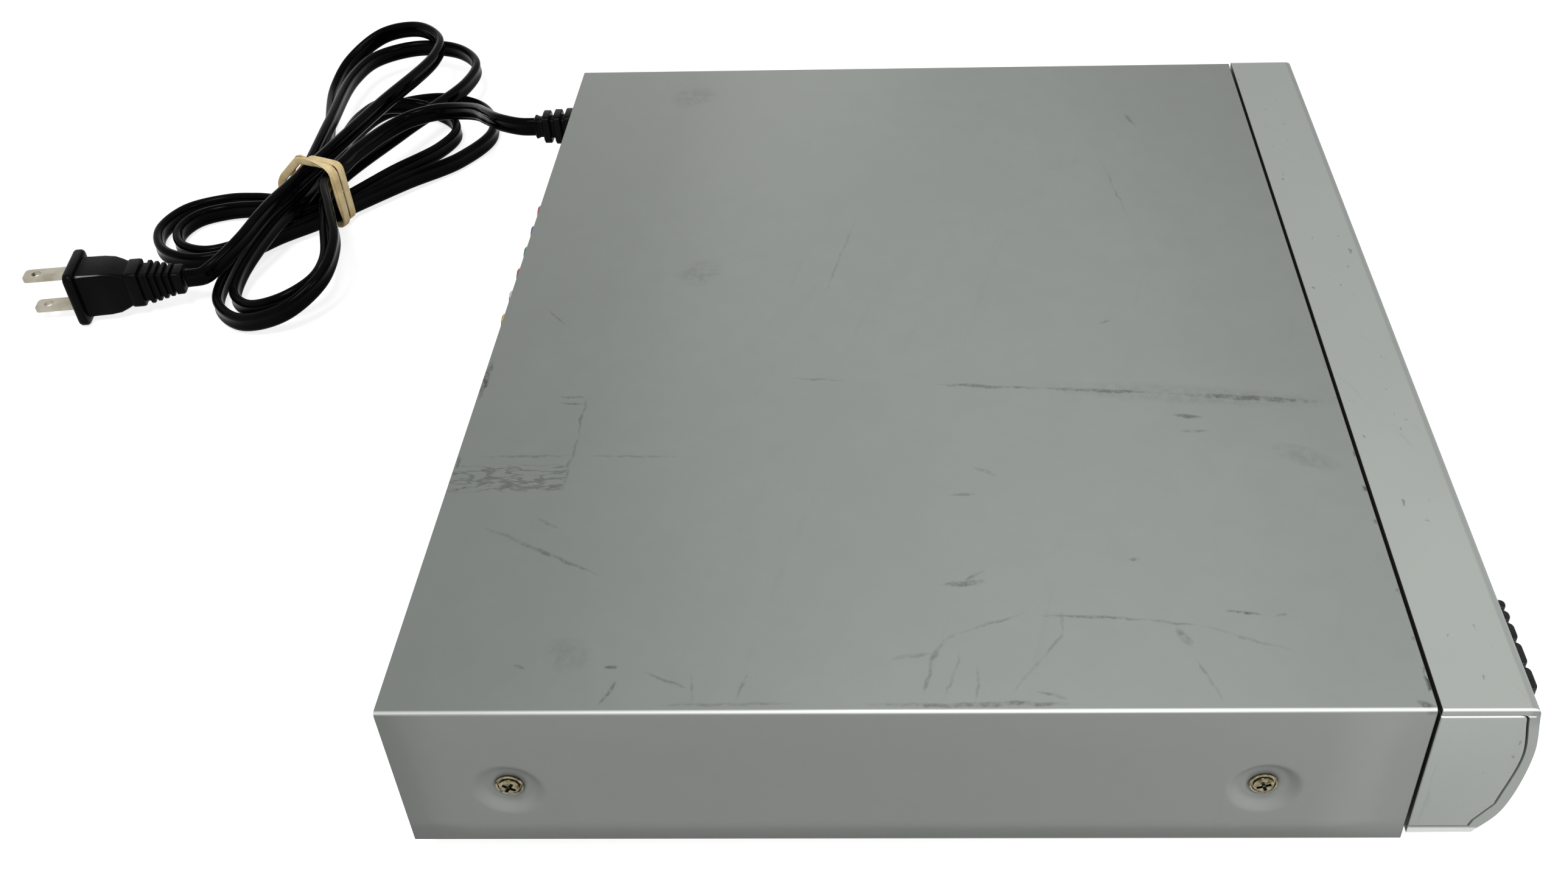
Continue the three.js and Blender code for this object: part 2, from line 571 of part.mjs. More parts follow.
// Loader heights and lines
const wallInner = tray.halfWidth + frame.side;
const wallOuter = wallInner + frame.wall;
const ledgeTop = trayUnder - frame.running;
const lipUnder = trayTop + frame.running;
const wallTop = lipUnder + frame.lipThickness + frame.wallRise;
const shelfUnder = floorTop + frame.shelfRise + gap;
const shelfTop = shelfUnder + frame.shelfThickness;
const shelfBack = frame.front + frame.shelfDepth;
const rackFace = -tray.halfWidth + rack.setIn + rack.web;
const pitchLine = rackFace + rack.module;
const driveX = pitchLine + gear.driveTeeth * rack.module / 2 + gear.play;
const pulleyX = driveX + (gear.wheelTeeth + gear.pinionTeeth) * gear.wheelModule / 2 + gear.play;
const hubTop = shelfTop + gap + gear.hubRise;
const wheelTop = hubTop + gear.wheelHeight;
const driveTop = wheelTop + gap + gear.driveHeight;
const camFront = shelfBack + gap;
const camBack = camFront + cam.thickness;
const camUnder = floorTop + gap + cam.railHeight + gap;
const hingeY = traverseRear - traverse.hingeSetback;
const traverseUnder = shelfUnder - frame.shelfThickness / 3;
const traverseTop = traverseUnder + traverse.thickness;
const hingeHeight = traverseUnder + traverse.thickness / 2;
const bridgeUnder = wallTop + clamp.bridgeRise;

// Outline of a spur gear with trapezoid teeth, one tooth centred at the phase
function gearOutline(teeth, module, phase) {
  const pitchRadius = teeth * module / 2;
  const tip = pitchRadius + gear.addendumShare * module;
  const root = pitchRadius - gear.dedendumShare * module;
  const halfTooth = (Math.PI * module / 2 - gear.backlash) / (2 * pitchRadius);
  const points = [];
  for (let k = 0; k < teeth; k += 1) {
    const middle = phase + k * 2 * Math.PI / teeth;
    for (const [radius, share] of [[root, -gear.rootShare], [tip, -gear.tipShare], [tip, gear.tipShare], [root, gear.rootShare]]) {
      const angle = middle + share * halfTooth;
      points.push([radius * Math.cos(angle), radius * Math.sin(angle)]);
    }
  }
  return points;
}

function gearPrism(teeth, module, phase, [x, y], zs) {
  return prismZ(polygon(gearOutline(teeth, module, phase).map(([a, b]) => [a + x, b + y])), zs);
}

// Moulded loader frame: side walls with ledges and lips for the tray, a gear shelf
// with its posts, the cam's rail, hinge blocks and a rear wall
function loaderFrame() {
  const ys = [frame.front, frameRear];
  const bottom = floorTop + gap;
  const parts = [];
  for (const side of [-1, 1]) {
    const span = (near, far) => [side * near, side * far].sort((a, b) => a - b);
    parts.push(block(span(wallInner, wallOuter), ys, [bottom, wallTop]));
    parts.push(block(span(wallInner - frame.ledge, wallInner + frame.wall / 2), ys, [ledgeTop - frame.ledgeThickness, ledgeTop]));
    parts.push(block(span(wallInner - frame.lip, wallInner + frame.wall / 2), ys, [lipUnder, lipUnder + frame.lipThickness]));
    const hingeBlock = block(
      span(wallInner - frame.hingeBlockInset, wallInner + frame.wall / 2),
      about(hingeY, frame.hingeBlockLength / 2), [bottom, hingeHeight + frame.hingeBlockRise]);
    const bore = rod("x", traverse.hingePin + gap, span(0, wallInner), [hingeY, hingeHeight], 16);
    parts.push(cut(hingeBlock, bore));
  }
  parts.push(block([-wallOuter, wallOuter], [frameRear - frame.rearWall, frameRear], [bottom, ledgeTop]));
  parts.push(block([-wallInner - frame.wall / 2, wallInner + frame.wall / 2], [frame.front, shelfBack], [shelfUnder, shelfTop]));
  const railXs = [-wallInner - frame.wall / 2, wallInner + frame.wall / 2];
  const railBack = camBack + gap + cam.railLip;
  parts.push(block(railXs, [camFront - cam.railLip, railBack], [bottom, bottom + cam.railHeight]));
  parts.push(block(railXs, [camBack + gap, railBack], [bottom, bottom + cam.railHeight + cam.railLip]));
  parts.push(rod("z", gear.post, [shelfUnder, driveTop], [driveX, gear.line], 16));
  parts.push(rod("z", gear.post, [shelfUnder, wheelTop], [pulleyX, gear.line], 16));
  const whole = join(...parts);
  return cut(whole, rod("z", motor.boss + gap, [shelfUnder - overrun, shelfTop + overrun], [pulley.motorX, gear.line], 20));
}

// Tray: stepped disc recess, a slot open to the rear for the turntable, a rack below
function discTray() {
  const frontY = -front.bulge + front.skin + tray.faceClear;
  const outline = roundedRect([-tray.halfWidth, tray.halfWidth], [frontY, trayRear], tray.corner);
  let shape = prismZ(outline, [trayUnder, trayTop]);
  const place = [0, disc.setback];
  const past = trayTop + overrun;
  shape = cut(shape, rod("z", disc.recess, [trayTop - tray.recessDepth, past], place, 48));
  shape = cut(shape, rod("z", disc.smallRecess, [trayTop - tray.recessDepth - tray.smallDepth, past], place, 36));
  const under = trayUnder - overrun;
  shape = cut(shape, rod("z", tray.slotHalf, [under, past], place, 32));
  shape = cut(shape, block(about(0, tray.slotHalf), [disc.setback, trayRear + overrun], [under, past]));
  return join(shape, rackPiece());
}

function rackPiece() {
  const pitch = Math.PI * rack.module;
  const addendum = gear.addendumShare * rack.module;
  const face = pitchLine - addendum - rack.clearShare * rack.module;
  const crest = pitchLine + addendum;
  const halfTooth = (pitch / 2 - gear.backlash) / 2;
  const back = -tray.halfWidth + rack.setIn;
  const points = [[back, rack.front]];
  const first = Math.ceil((rack.front - gear.line) / pitch) + 0.5;
  const last = Math.floor((rackRear - gear.line) / pitch) - 0.5;
  points.push([face, rack.front]);
  for (let k = first; k <= last; k += 1) {
    const y = gear.line + k * pitch;
    points.push([face, y - gear.rootShare * halfTooth], [crest, y - gear.tipShare * halfTooth]);
    points.push([crest, y + gear.tipShare * halfTooth], [face, y + gear.rootShare * halfTooth]);
  }
  points.push([face, rackRear], [back, rackRear]);
  return prismZ(polygon(points), [trayUnder - rack.height, trayUnder + tray.thickness / 4]);
}

// Two-step gear between the rack and the pulley's pinion
function driveGear() {
  const place = [driveX, gear.line];
  const wheel = gearPrism(gear.wheelTeeth, gear.wheelModule, 0, place, [hubTop, wheelTop]);
  const drive = gearPrism(gear.driveTeeth, rack.module, Math.PI, place, [wheelTop - gap, driveTop]);
  const hub = rod("z", gear.hub, [shelfTop + gap, hubTop + gear.wheelHeight / 2], place, 20);
  return cut(join(wheel, drive, hub), rod("z", gear.bore, [shelfTop, driveTop + overrun], place, 16));
}

const pulleyBase = shelfTop + gap;
const grooveLow = pulleyBase + pulley.flange;
const grooveHigh = grooveLow + pulley.grooveHeight;
const pulleyTop = grooveHigh + pulley.flange;

function pulleyProfile(radius, groove, top) {
  return [
    [0, pulleyBase], [radius, pulleyBase], [groove, grooveLow], [groove, grooveHigh],
    [radius, pulleyTop], [radius - pulley.flange, top], [0, top],
  ];
}

function pulleyGear() {
  const body = turned(pulleyProfile(pulley.radius, pulley.groove, pulleyTop), 32, Z, [pulleyX, gear.line, 0]);
  const phase = Math.PI + Math.PI / gear.pinionTeeth;
  const pinion = gearPrism(gear.pinionTeeth, gear.wheelModule, phase, [pulleyX, gear.line], [pulleyTop - gap, wheelTop]);
  return cut(join(body, pinion), rod("z", gear.bore, [pulleyBase - overrun, wheelTop + overrun], [pulleyX, gear.line], 16));
}

function motorPulley() {
  const body = turned(pulleyProfile(pulley.motorRadius, pulley.motorGroove, pulleyTop), 20, Z, [pulley.motorX, gear.line, 0]);
  return cut(body, rod("z", motor.shaft + gap, [pulleyBase - overrun, pulleyTop - pulley.flange], [pulley.motorX, gear.line], 12));
}

// Belt outline: two arcs joined by the outer tangents
function beltOutline(extra) {
  const big = pulley.groove + gap + extra;
  const small = pulley.motorGroove + gap + extra;
  const lean = Math.acos((big - small) / (pulley.motorX - pulleyX));
  const shape = new THREE.Shape();
  shape.absarc(pulleyX, gear.line, big, lean, 2 * Math.PI - lean);
  shape.absarc(pulley.motorX, gear.line, small, -lean, lean);
  return shape;
}

function driveBelt() {
  const zs = [grooveLow + gap, grooveHigh - gap];
  const outer = prismZ(beltOutline(belt.thickness), zs, belt.segments);
  return cut(outer, prismZ(beltOutline(0), [zs[0] - overrun, zs[1] + overrun], belt.segments));
}

function loadingMotor() {
  const top = shelfUnder - gap;
  const profile = [
    [0, top - motor.height], [motor.radius - motor.bossHeight, top - motor.height],
    [motor.radius, top - motor.height + motor.bossHeight], [motor.radius, top],
    [motor.boss, top], [motor.boss, top + motor.bossHeight], [motor.shaft, top + motor.bossHeight],
    [motor.shaft, pulleyTop - pulley.flange - gap], [0, pulleyTop - pulley.flange - gap],
  ];
  return turned(profile, 22, Z, [pulley.motorX, gear.line, 0]);
}

// Cam slider: two sloped slots that lift and lower the traverse's pins
function camSlider() {
  let shape = block([-cam.left, cam.right], [camFront, camBack], [camUnder, camUnder + cam.height]);
  const drop = cam.travel / cam.slope;
  const reach = traverse.pin + gap;
  for (const pinX of [-cam.pinLeft, cam.pinRight]) {
    const low = hingeHeight - drop;
    const track = [[pinX - cam.travel, low], [pinX, hingeHeight]];
    const lean = Math.atan(1 / cam.slope);
    const slotShape = new THREE.Shape();
    slotShape.absarc(track[0][0], track[0][1], reach, lean + Math.PI / 2, lean + 1.5 * Math.PI);
    slotShape.absarc(track[1][0], track[1][1], reach, lean - Math.PI / 2, lean + Math.PI / 2);
    shape = cut(shape, prismY(slotShape, [camFront - overrun, camBack + overrun]));
  }
  return shape;
}

const railHeight = traverseTop + rail.rise;
const leadHeight = traverseTop + lead.rise;

// Traverse chassis: plate with its hinge pins, cam pins, rail and screw holders
function traverseChassis() {
  const zs = [traverseUnder, traverseTop];
  let shape = block(about(0, traverse.halfWidth), [traverse.front, traverseRear], zs);
  const windowYs = [sled.front, railRear - rail.blockLength - gap];
  shape = cut(shape, block(about(0, traverse.window), windowYs, [traverseUnder - overrun, traverseTop + overrun]));
  const pinEnd = wallInner - frame.wall;
  shape = join(shape, rod("x", traverse.hingePin, [-pinEnd, pinEnd], [hingeY, hingeHeight], 16));
  for (const x of [-cam.pinLeft, cam.pinRight]) {
    shape = join(shape, rod("y", traverse.pin, [camFront + gap, traverse.front + overrun], [x, hingeHeight], 12));
  }
  for (const side of [-1, 1]) {
    for (const y of [rail.front - gap, railRear - rail.blockLength + gap]) {
      const holder = block(about(side * rail.x, rail.block / 2), [y, y + rail.blockLength], [traverseUnder, traverseTop + rail.blockRise]);
      shape = join(shape, holder);
    }
    const bore = [rail.front - gap, railRear + gap];
    shape = cut(shape, rod("y", rail.radius + gap, bore, [side * rail.x, railHeight], 12));
  }
  const bearing = block(about(lead.x, lead.bearing), [leadRear - lead.bearing, leadRear + gap], [traverseUnder, leadHeight + lead.bearing]);
  shape = join(shape, bearing);
  return cut(shape, rod("y", lead.screw + gap, [leadRear - lead.bearing - overrun, leadRear], [lead.x, leadHeight], 12));
}

function spindleMotor() {
  const base = traverseTop + gap;
  const profile = [
    [0, base], [spindle.motorRadius, base], [spindle.motorRadius, base + spindle.motorHeight - overrun],
    [spindle.motorRadius - overrun, base + spindle.motorHeight], [spindle.shaft, base + spindle.motorHeight],
    [spindle.shaft, spindle.seatHeight - gap], [0, spindle.seatHeight - gap],
  ];
  return turned(profile, 22, Z, [0, disc.setback, 0]);
}

const spindleTop = traverseTop + gap + spindle.motorHeight + gap;

// Turntable: seat for the disc, centring cone, hub over the motor's shaft
function turntable() {
  const { seat, seatHeight, seatThickness, cone, coneTop, tip, shaft } = spindle;
  const profile = [
    [0, spindleTop], [tip, spindleTop], [tip, seatHeight - seatThickness], [seat, seatHeight - seatThickness],
    [seat, seatHeight], [cone, seatHeight], [cone, coneTop - (cone - tip) / 2], [tip, coneTop], [0, coneTop],
  ];
  const body = turned(profile, 24, Z, [0, disc.setback, 0]);
  return cut(body, rod("z", shaft + gap, [spindleTop - overrun, seatHeight], [0, disc.setback], 12));
}

// Laser sled: body on two rods, an arm to the screw, a well for the lens
const lensY = sled.front + sled.lensSetback;
const sledUnder = railHeight - sled.height / 3;
const sledTop = sledUnder + sled.height;

function pickupSled() {
  const ys = [sled.front, sled.front + sled.length];
  const outline = roundedRect([-sled.halfWidth, sled.halfWidth], ys, cover.fold * 2);
  let shape = prismZ(outline, [sledUnder, sledTop]);
  const armYs = about(sled.front + sled.length / 2, sled.armLength / 2);
  shape = join(shape, block([sled.halfWidth - overrun, sled.halfWidth + sled.arm], armYs, [leadHeight - lead.bearing, sledTop]));
  for (const [x, z, radius] of [[-rail.x, railHeight, rail.radius], [rail.x, railHeight, rail.radius], [lead.x, leadHeight, lead.screw]]) {
    shape = cut(shape, rod("y", radius + gap, [ys[0] - overrun, ys[1] + overrun], [x, z], 12));
  }
  return cut(shape, rod("z", sled.lensCell, [sledTop - sled.lensHeight / 2, sledTop + overrun], [0, lensY], 20));
}

function objectiveLens() {
  const base = sledTop - sled.lensHeight / 2 + gap;
  const profile = [
    [0, base], [sled.lensCell - 2 * gap, base], [sled.lensCell - 2 * gap, base + sled.lensHeight / 2],
    [sled.lens, base + sled.lensHeight / 2], [sled.lens, base + sled.lensHeight * sled.shoulderShare],
    [sled.lens * sled.crownShare, base + sled.lensHeight], [0, base + sled.lensHeight],
  ];
  return turned(profile, 20, Z, [0, lensY, 0]);
}

function sledMotor() {
  return rod("y", lead.motorRadius, [lead.motorFront, lead.motorFront + lead.motorLength], [lead.x, leadHeight], 20);
}

function leadScrew() {
  return rod("y", lead.screw, [lead.motorFront + lead.motorLength + gap, leadRear - gap], [lead.x, leadHeight], 12);
}

// Clamp: bridge over the walls, and the puck that holds a disc down
function clampBridge() {
  const ys = about(disc.setback, clamp.bridgeDepth / 2);
  let shape = block([-wallOuter, wallOuter], ys, [bridgeUnder, bridgeUnder + clamp.bridge]);
  for (const side of [-1, 1]) {
    const xs = [side * wallInner, side * wallOuter].sort((a, b) => a - b);
    shape = join(shape, block(xs, ys, [wallTop + gap, bridgeUnder + clamp.bridge / 2]));
  }
  return cut(shape, rod("z", clamp.hole, [bridgeUnder - overrun, bridgeUnder + clamp.bridge + overrun], [0, disc.setback], 28));
}

function clampPuck() {
  const flangeLow = bridgeUnder + clamp.bridge + gap;
  const flangeTop = flangeLow + clamp.flangeHeight;
  const profile = [
    [0, clamp.hollowTop], [clamp.hollow, clamp.hollowTop], [clamp.hollow, clamp.puckBottom], [clamp.radius, clamp.puckBottom],
    [clamp.radius, flangeLow], [clamp.flange, flangeLow], [clamp.flange, flangeTop], [0, flangeTop],
  ];
  return turned(profile, 24, Z, [0, disc.setback, 0]);
}

// Strain relief: ribbed and tapered outside the panel, a wider foot inside it
const reliefStart = panelBack + gap;

function strainRelief() {
  const bar = (halfWidth, halfHeight, ys) => prismY(
    roundedRect(about(reliefX, halfWidth), about(reliefHeight, halfHeight), relief.corner), ys, 2);
  const pitch = relief.rib + relief.groove;
  const count = relief.ribCount + 1;
  const end = reliefStart + count * pitch - relief.groove + relief.nose;
  const [halfWidth, halfHeight] = [relief.width / 2, relief.height / 2];
  const core = bar(halfWidth - relief.grooveDepth, halfHeight - relief.grooveDepth, [panelFront - gap, end]);
  const neck = bar(relief.neckWidth / 2, relief.neckHeight / 2, [panelFront - 2 * gap, reliefStart + overrun]);
  const inner = bar(relief.insideWidth / 2, relief.insideHeight / 2, [panelFront - gap - relief.inside, panelFront - gap]);
  const ribs = Array.from({ length: count }, (_, k) => {
    const y = reliefStart + k * pitch;
    const less = k * relief.taper / 2;
    return bar(halfWidth - less, halfHeight - less, [y, y + relief.rib]);
  });
  return join(core, neck, inner, ...ribs);
}

// Cord: sections with the broad side held upright along the route
class UprightCurve extends THREE.CatmullRomCurve3 {
  computeFrenetFrames(segments) {
    const frames = { tangents: [], normals: [], binormals: [] };
    for (let k = 0; k <= segments; k += 1) {
      const tangent = this.getTangentAt(k / segments);
      const side = new THREE.Vector3().crossVectors(Z, tangent).normalize();
      frames.tangents.push(tangent);
      frames.normals.push(side);
      frames.binormals.push(new THREE.Vector3().crossVectors(tangent, side));
    }
    return frames;
  }
}

function cordSection(sides) {
  const [a, b] = [cord.thin / 2, cord.broad / 2];
  const flat = cord.flatShare * b;
  const ring = [[a, flat], [0, b], [-a, flat], [-a, -flat], [0, -b], [a, -flat]];
  const fine = [[a, flat], [a / 2, b], [-a / 2, b], [-a, flat], [-a, -flat], [-a / 2, -b], [a / 2, -b], [a, -flat]];
  return polygon(sides === 6 ? ring : fine);
}

function cordTube(curve, steps, sides) {
  curve.arcLengthDivisions = 10 * steps;
  return solid(new THREE.ExtrudeGeometry(cordSection(sides), { steps, extrudePath: curve, bevelEnabled: false }));
}

const curveThrough = points => new UprightCurve(points.map(p => new THREE.Vector3(...p)), false, "centripetal");

// Lead from the strain relief down to the hank, and tail from the hank to the plug
const leadRoute = curveThrough([
  [140, 255.9, 39], [140.2, 262, 39], [145.2, 271.2, 38.2], [155.6, 278.8, 35], [167.5, 286, 30.5], [177, 295, 26],
  [181.8, 306.5, 23], [179, 317.3, 21.4], [170.6, 324.6, 20.8], [160.6, 329.4, 20.8], [152.64, 332.57, 20.8],
  [145.85, 334.27, 20.8],
]);
const tailRoute = curveThrough([
  [134.38, 348.39, 20.8], [127.66, 350.32, 20.8], [117.5, 353.2, 20.8], [107, 356.2, 19.8], [98, 359.6, 17.6],
  [91, 364, 15], [86.4, 368, 12.9], [84.7, 371, 11.4], [83.64, 377, 11],
]);

// Hank: the cord passes the waist nine times and turns in eight lobes, piled in
// three layers. A pass has its side of the waist line, its place from that line in
// steps, its angle and its layer. A lobe has its side, reach from the waist, radius,
// angle and the height of its six arc points, as shares of the way up the pile.
const hank = {
  waistX: 141, waistY: 345, step: 5.2, start: 0.4, waistHalf: 7, layers: [3.9, 11.7, 19.5], lift: 1.3, climbShare: 0.88,
  lobeSteps: 24,
};
const passes = [
  { side: -1, place: 1.7, angle: -14, layer: 2 }, { side: 1, place: 1.6, angle: -4, layer: 1 },
  { side: -1, place: 1, angle: -4, layer: 1 }, { side: 1, place: 0.5, angle: -8, layer: 1 },
  { side: -1, place: 0.5, angle: -42, layer: 0 }, { side: 1, place: 1, angle: -42, layer: 0 },
  { side: -1, place: 1.5, angle: -42, layer: 0 }, { side: 1, place: 2.25, angle: -44, layer: 0 },
  { side: 1, place: 0.2, angle: -16, layer: 2 },
];
const lobes = [
  { side: -1, reach: 77, radius: 22, angle: 0, heightShares: [0.97, 0.7, 0.3, 0.04, 0.02, 0.16] },
  { side: 1, reach: 122, radius: 26, angle: -9, heightShares: [0.5, 0.5, 0.5, 0.5, 0.5, 0.5] },
  { side: -1, reach: 70, radius: 16.5, angle: 0, heightShares: [0.5, 0.45, 0.3, 0.1, 0.05, 0.2] },
  { side: 1, reach: 79, radius: 19, angle: -20, heightShares: [0.5, 0.42, 0.18, 0, 0, 0] },
  { side: -1, reach: 54, radius: 15, angle: -66, heightShares: [0, 0, 0, 0, 0, 0] },
  { side: 1, reach: 92, radius: 29, angle: -24, heightShares: [0, 0, 0, 0, 0, 0] },
  { side: -1, reach: 61, radius: 21, angle: -68, heightShares: [0, 0, 0, 0, 0, 0] },
  { side: 1, reach: 124, radius: 24, angle: -1, heightShares: [0.03, 0.35, 0.82, 1.03, 1.03, 1.02] },
];

function hankPlace(along, across, degrees, height) {
  const angle = THREE.MathUtils.degToRad(degrees);
  const x = hank.waistX + along * Math.cos(angle) - across * Math.sin(angle);
  const y = hank.waistY + along * Math.sin(angle) + across * Math.cos(angle);
  return new THREE.Vector3(x, y, height);
}

// Angle at which a straight run from the waist touches a lobe's circle
function touchAngle(centre, radius, along, across) {
  const away = Math.hypot(centre - along, across);
  return Math.PI - Math.atan2(Math.abs(across), centre - along) - Math.acos(radius / away);
}

// Middle of a run: most of the climb from the lobe to the waist is done by then
function midRun(lobeEnd, waistEnd) {
  const middle = lobeEnd.clone().lerp(waistEnd, 0.5);
  middle.z = THREE.MathUtils.lerp(lobeEnd.z, waistEnd.z, hank.climbShare);
  return middle;
}

function hankPoints() {
  const points = [];
  const lowest = hank.layers[0];
  const rise = hank.layers[2] - lowest;
  passes.forEach((pass, k) => {
    const heading = k % 2 === 0 ? -1 : 1;
    const across = pass.side * (hank.start + pass.place * hank.step);
    const height = hank.layers[pass.layer] + hank.lift;
    points.push(hankPlace(-heading * hank.waistHalf, across, pass.angle, height));
    points.push(hankPlace(heading * hank.waistHalf, across, pass.angle, height));
    if (k === passes.length - 1) return;
    const lobe = lobes[k];
    const next = passes[k + 1];
    const nextAcross = next.side * (hank.start + next.place * hank.step);
    const nextHeight = hank.layers[next.layer] + hank.lift;
    const centre = lobe.reach - lobe.radius;
    const first = touchAngle(centre, lobe.radius, hank.waistHalf, across);
    const last = -touchAngle(centre, lobe.radius, hank.waistHalf, nextAcross);
    const arc = lobe.heightShares.map((share, i) => {
      const angle = first + (last - first) * i / (lobe.heightShares.length - 1);
      const along = lobe.side * (centre + lobe.radius * Math.cos(angle));
      return hankPlace(along, pass.side * lobe.radius * Math.sin(angle), lobe.angle, lowest + rise * share);
    });
    const nextPoint = hankPlace(heading * hank.waistHalf, nextAcross, next.angle, nextHeight);
    points.push(midRun(arc[0], points.at(-1)), ...arc, midRun(arc.at(-1), nextPoint));
  });
  return points;
}

const hankRoute = new UprightCurve(hankPoints(), false, "centripetal");

// Least gap between stretches of cord, on points along their centre lines
function leastGap(first, second, skip) {
  let least = Infinity;
  first.forEach((a, i) => second.forEach((b, j) => {
    if (first === second && j - i < skip) return;
    const level = Math.hypot(a.x - b.x, a.y - b.y) - cord.thin;
    const upright = Math.abs(a.z - b.z) - cord.broad;
    least = Math.min(least, Math.max(level, upright));
  }));
  return least;
}

// Plug: flange, ridged body, collar and ribbed tail, along its own Y with the blades forward
const plugGroup = new THREE.Group();
plugGroup.position.set(plug.x, plug.y, plug.z);
plugGroup.rotation.z = THREE.MathUtils.degToRad(plug.yawDegrees);
player.add(plugGroup);

function plugBody() {
  const bar = (widthHere, heightHere, ys) => prismY(
    roundedRect(about(0, widthHere / 2), about(0, heightHere / 2), plug.corner), ys, 2);
  const bodyEnd = -plug.flangeThickness - plug.bodyLength;
  const collarEnd = bodyEnd - plug.collarLength;
  const tailEnd = collarEnd - plug.tailLength;
  let shape = bar(plug.flangeWidth, plug.flangeHeight, [-plug.flangeThickness, 0]);
  shape = join(shape, bar(plug.bodyWidth, plug.bodyHeight - 2 * plug.ridge, [bodyEnd, -overrun]));
  for (const side of [-1, 1]) {
    const zs = [plug.bodyHeight / 2 - plug.corner, plug.bodyHeight / 2].map(z => side * z).sort((a, b) => a - b);
    const ridge = roundedRect(about(0, plug.bodyWidth / 2 - plug.ridge), zs, plug.ridge);
    shape = join(shape, prismY(ridge, [bodyEnd + plug.ridge, -overrun], 2));
  }
  shape = join(shape, bar(plug.collarWidth, plug.collarHeight, [collarEnd, bodyEnd + overrun]));
  shape = join(shape, bar(plug.tailWidth - plug.tailGroove, plug.tailHeight - plug.tailGroove, [tailEnd, collarEnd + overrun]));
  const pitch = plug.tailLength / plug.tailRibs;
  for (let k = 0; k < plug.tailRibs; k += 1) {
    const y = collarEnd - k * pitch - plug.tailGroove;
    const share = 1 - (k + 1) / plug.tailRibs;
    const ribWidth = plug.tailWidth + share * (plug.collarWidth - plug.tailWidth);
    const ribHeight = plug.tailHeight + share * (plug.collarHeight - plug.tailHeight);
    shape = join(shape, bar(ribWidth, ribHeight, [y - (pitch - plug.tailGroove), y]));
  }
  for (const side of [-1, 1]) {
    const z = side * plug.bladeSpacing / 2;
    const seat = block(
      about(0, plug.bladeWidth / 2 + gap), [-plug.bladeRoot - gap, overrun], about(z, plug.bladeThickness / 2 + gap));
    shape = cut(shape, seat);
  }
  return shape;
}

function plugBlade(side) {
  const z = side * plug.bladeSpacing / 2;
  const outline = new THREE.Shape();
  const halfBlade = plug.bladeWidth / 2;
  const chamfer = plug.bladeThickness;
  outline.moveTo(-halfBlade, -plug.bladeRoot);
  outline.lineTo(halfBlade, -plug.bladeRoot);
  outline.lineTo(halfBlade, plug.bladeLength - chamfer);
  outline.lineTo(halfBlade - chamfer, plug.bladeLength);
  outline.lineTo(chamfer - halfBlade, plug.bladeLength);
  outline.lineTo(-halfBlade, plug.bladeLength - chamfer);
  const zs = about(z, plug.bladeThickness / 2);
  const hole = rod("z", plug.bladeHole, [zs[0] - overrun, zs[1] + overrun], [0, plug.bladeHoleReach], 16);
  return cut(prismZ(outline, zs), hole);
}

// Rubber band: a flat loop round the waist of the hank
function rubberBand() {
  const edges = passes.flatMap(pass => {
    const lean = Math.abs(THREE.MathUtils.degToRad(pass.angle - band.angleDegrees));
    const middle = pass.side * (hank.start + pass.place * hank.step) / Math.cos(lean);
    const reach = cord.thin / 2 / Math.cos(lean) + band.width / 2 * Math.tan(lean) + band.slack;
    return [middle - reach, middle + reach];
  });
  const low = band.thickness + gap / 2;
  const high = hank.layers[2] + hank.lift + cord.broad / 2 + gap;
  const inner = [[Math.min(...edges), Math.max(...edges)], [low, high]];
  const outer = inner.map(([a, b]) => [a - band.thickness, b + band.thickness]);
  const ring = (spans, halfWidth, corner) => {
    const geometry = extruded(roundedRect(...spans, corner), 2 * halfWidth, 4);
    geometry.applyMatrix4(new THREE.Matrix4().makeBasis(Y, Z, X));
    geometry.translate(-halfWidth, 0, 0);
    geometry.rotateZ(THREE.MathUtils.degToRad(band.angleDegrees));
    geometry.translate(hank.waistX, hank.waistY, 0);
    return solid(geometry);
  };
  const widest = band.width / 2;
  return cut(ring(outer, widest, band.corner + band.thickness), ring(inner, widest + overrun, band.corner));
}

// Assembly
piece("top_cover", topCover(), finish.coverPaint);
piece("chassis_base", chassisBase(), finish.zincSteel);
piece("rear_panel", rearPanel(), finish.zincSteel);
piece("fascia", fascia(), finish.silverPlastic);
piece("end_cap_left", endCap(-1), finish.silverPlastic);
piece("end_cap_right", endCap(1), finish.silverPlastic);
piece("display_window", displayWindow(), finish.smokedWindow);
piece("tray_door", trayDoor(), finish.silverPlastic);
for (const [name, place] of Object.entries(footPlaces)) {
  piece(`foot_${name}`, footPiece(place), finish.rubber);
}
for (const [sideName, side] of [["left", -1], ["right", 1]]) {
  for (const [name, y] of Object.entries(dishSetbacks)) {
    const place = [side * (half - dish.depth + gap), y, dishHeight];
    piece(`side_screw_${sideName}_${name}`, screwPiece(X.clone().multiplyScalar(side), place), finish.screwSteel);
  }
  const x = side * (half - cover.tabInset);
  piece(`rear_screw_${sideName}`, screwPiece(Y, [x, coverDepth + gap, tabScrewHeight]), finish.screwSteel);
}
keyPitches.forEach((_, k) => piece(`key_${k + 1}`, frontKey(k), finish.keyPlastic));
piece("standby_button", standbyButton(), finish.keyPlastic);
piece("key_board", switchBoard(keyBoardXs, keyPresses), finish.circuitBoard);
piece("display_board", switchBoard(displayBoardXs, [standbyPlace]), finish.circuitBoard);
piece("main_board", block(mainSpan.x, mainSpan.y, [boardUnder, boardTop]), finish.circuitBoard);
piece("power_board", block(powerSpan.x, powerSpan.y, [boardUnder, boardTop]), finish.circuitBoard);
piece("av_jack_block", jackBlock(), finish.greyPlastic);
piece("transformer", transformerPiece(), finish.copper);
piece("filter_capacitor", capacitorPiece(), finish.greyPlastic);
piece("heat_sink", heatSink(), finish.aluminium);
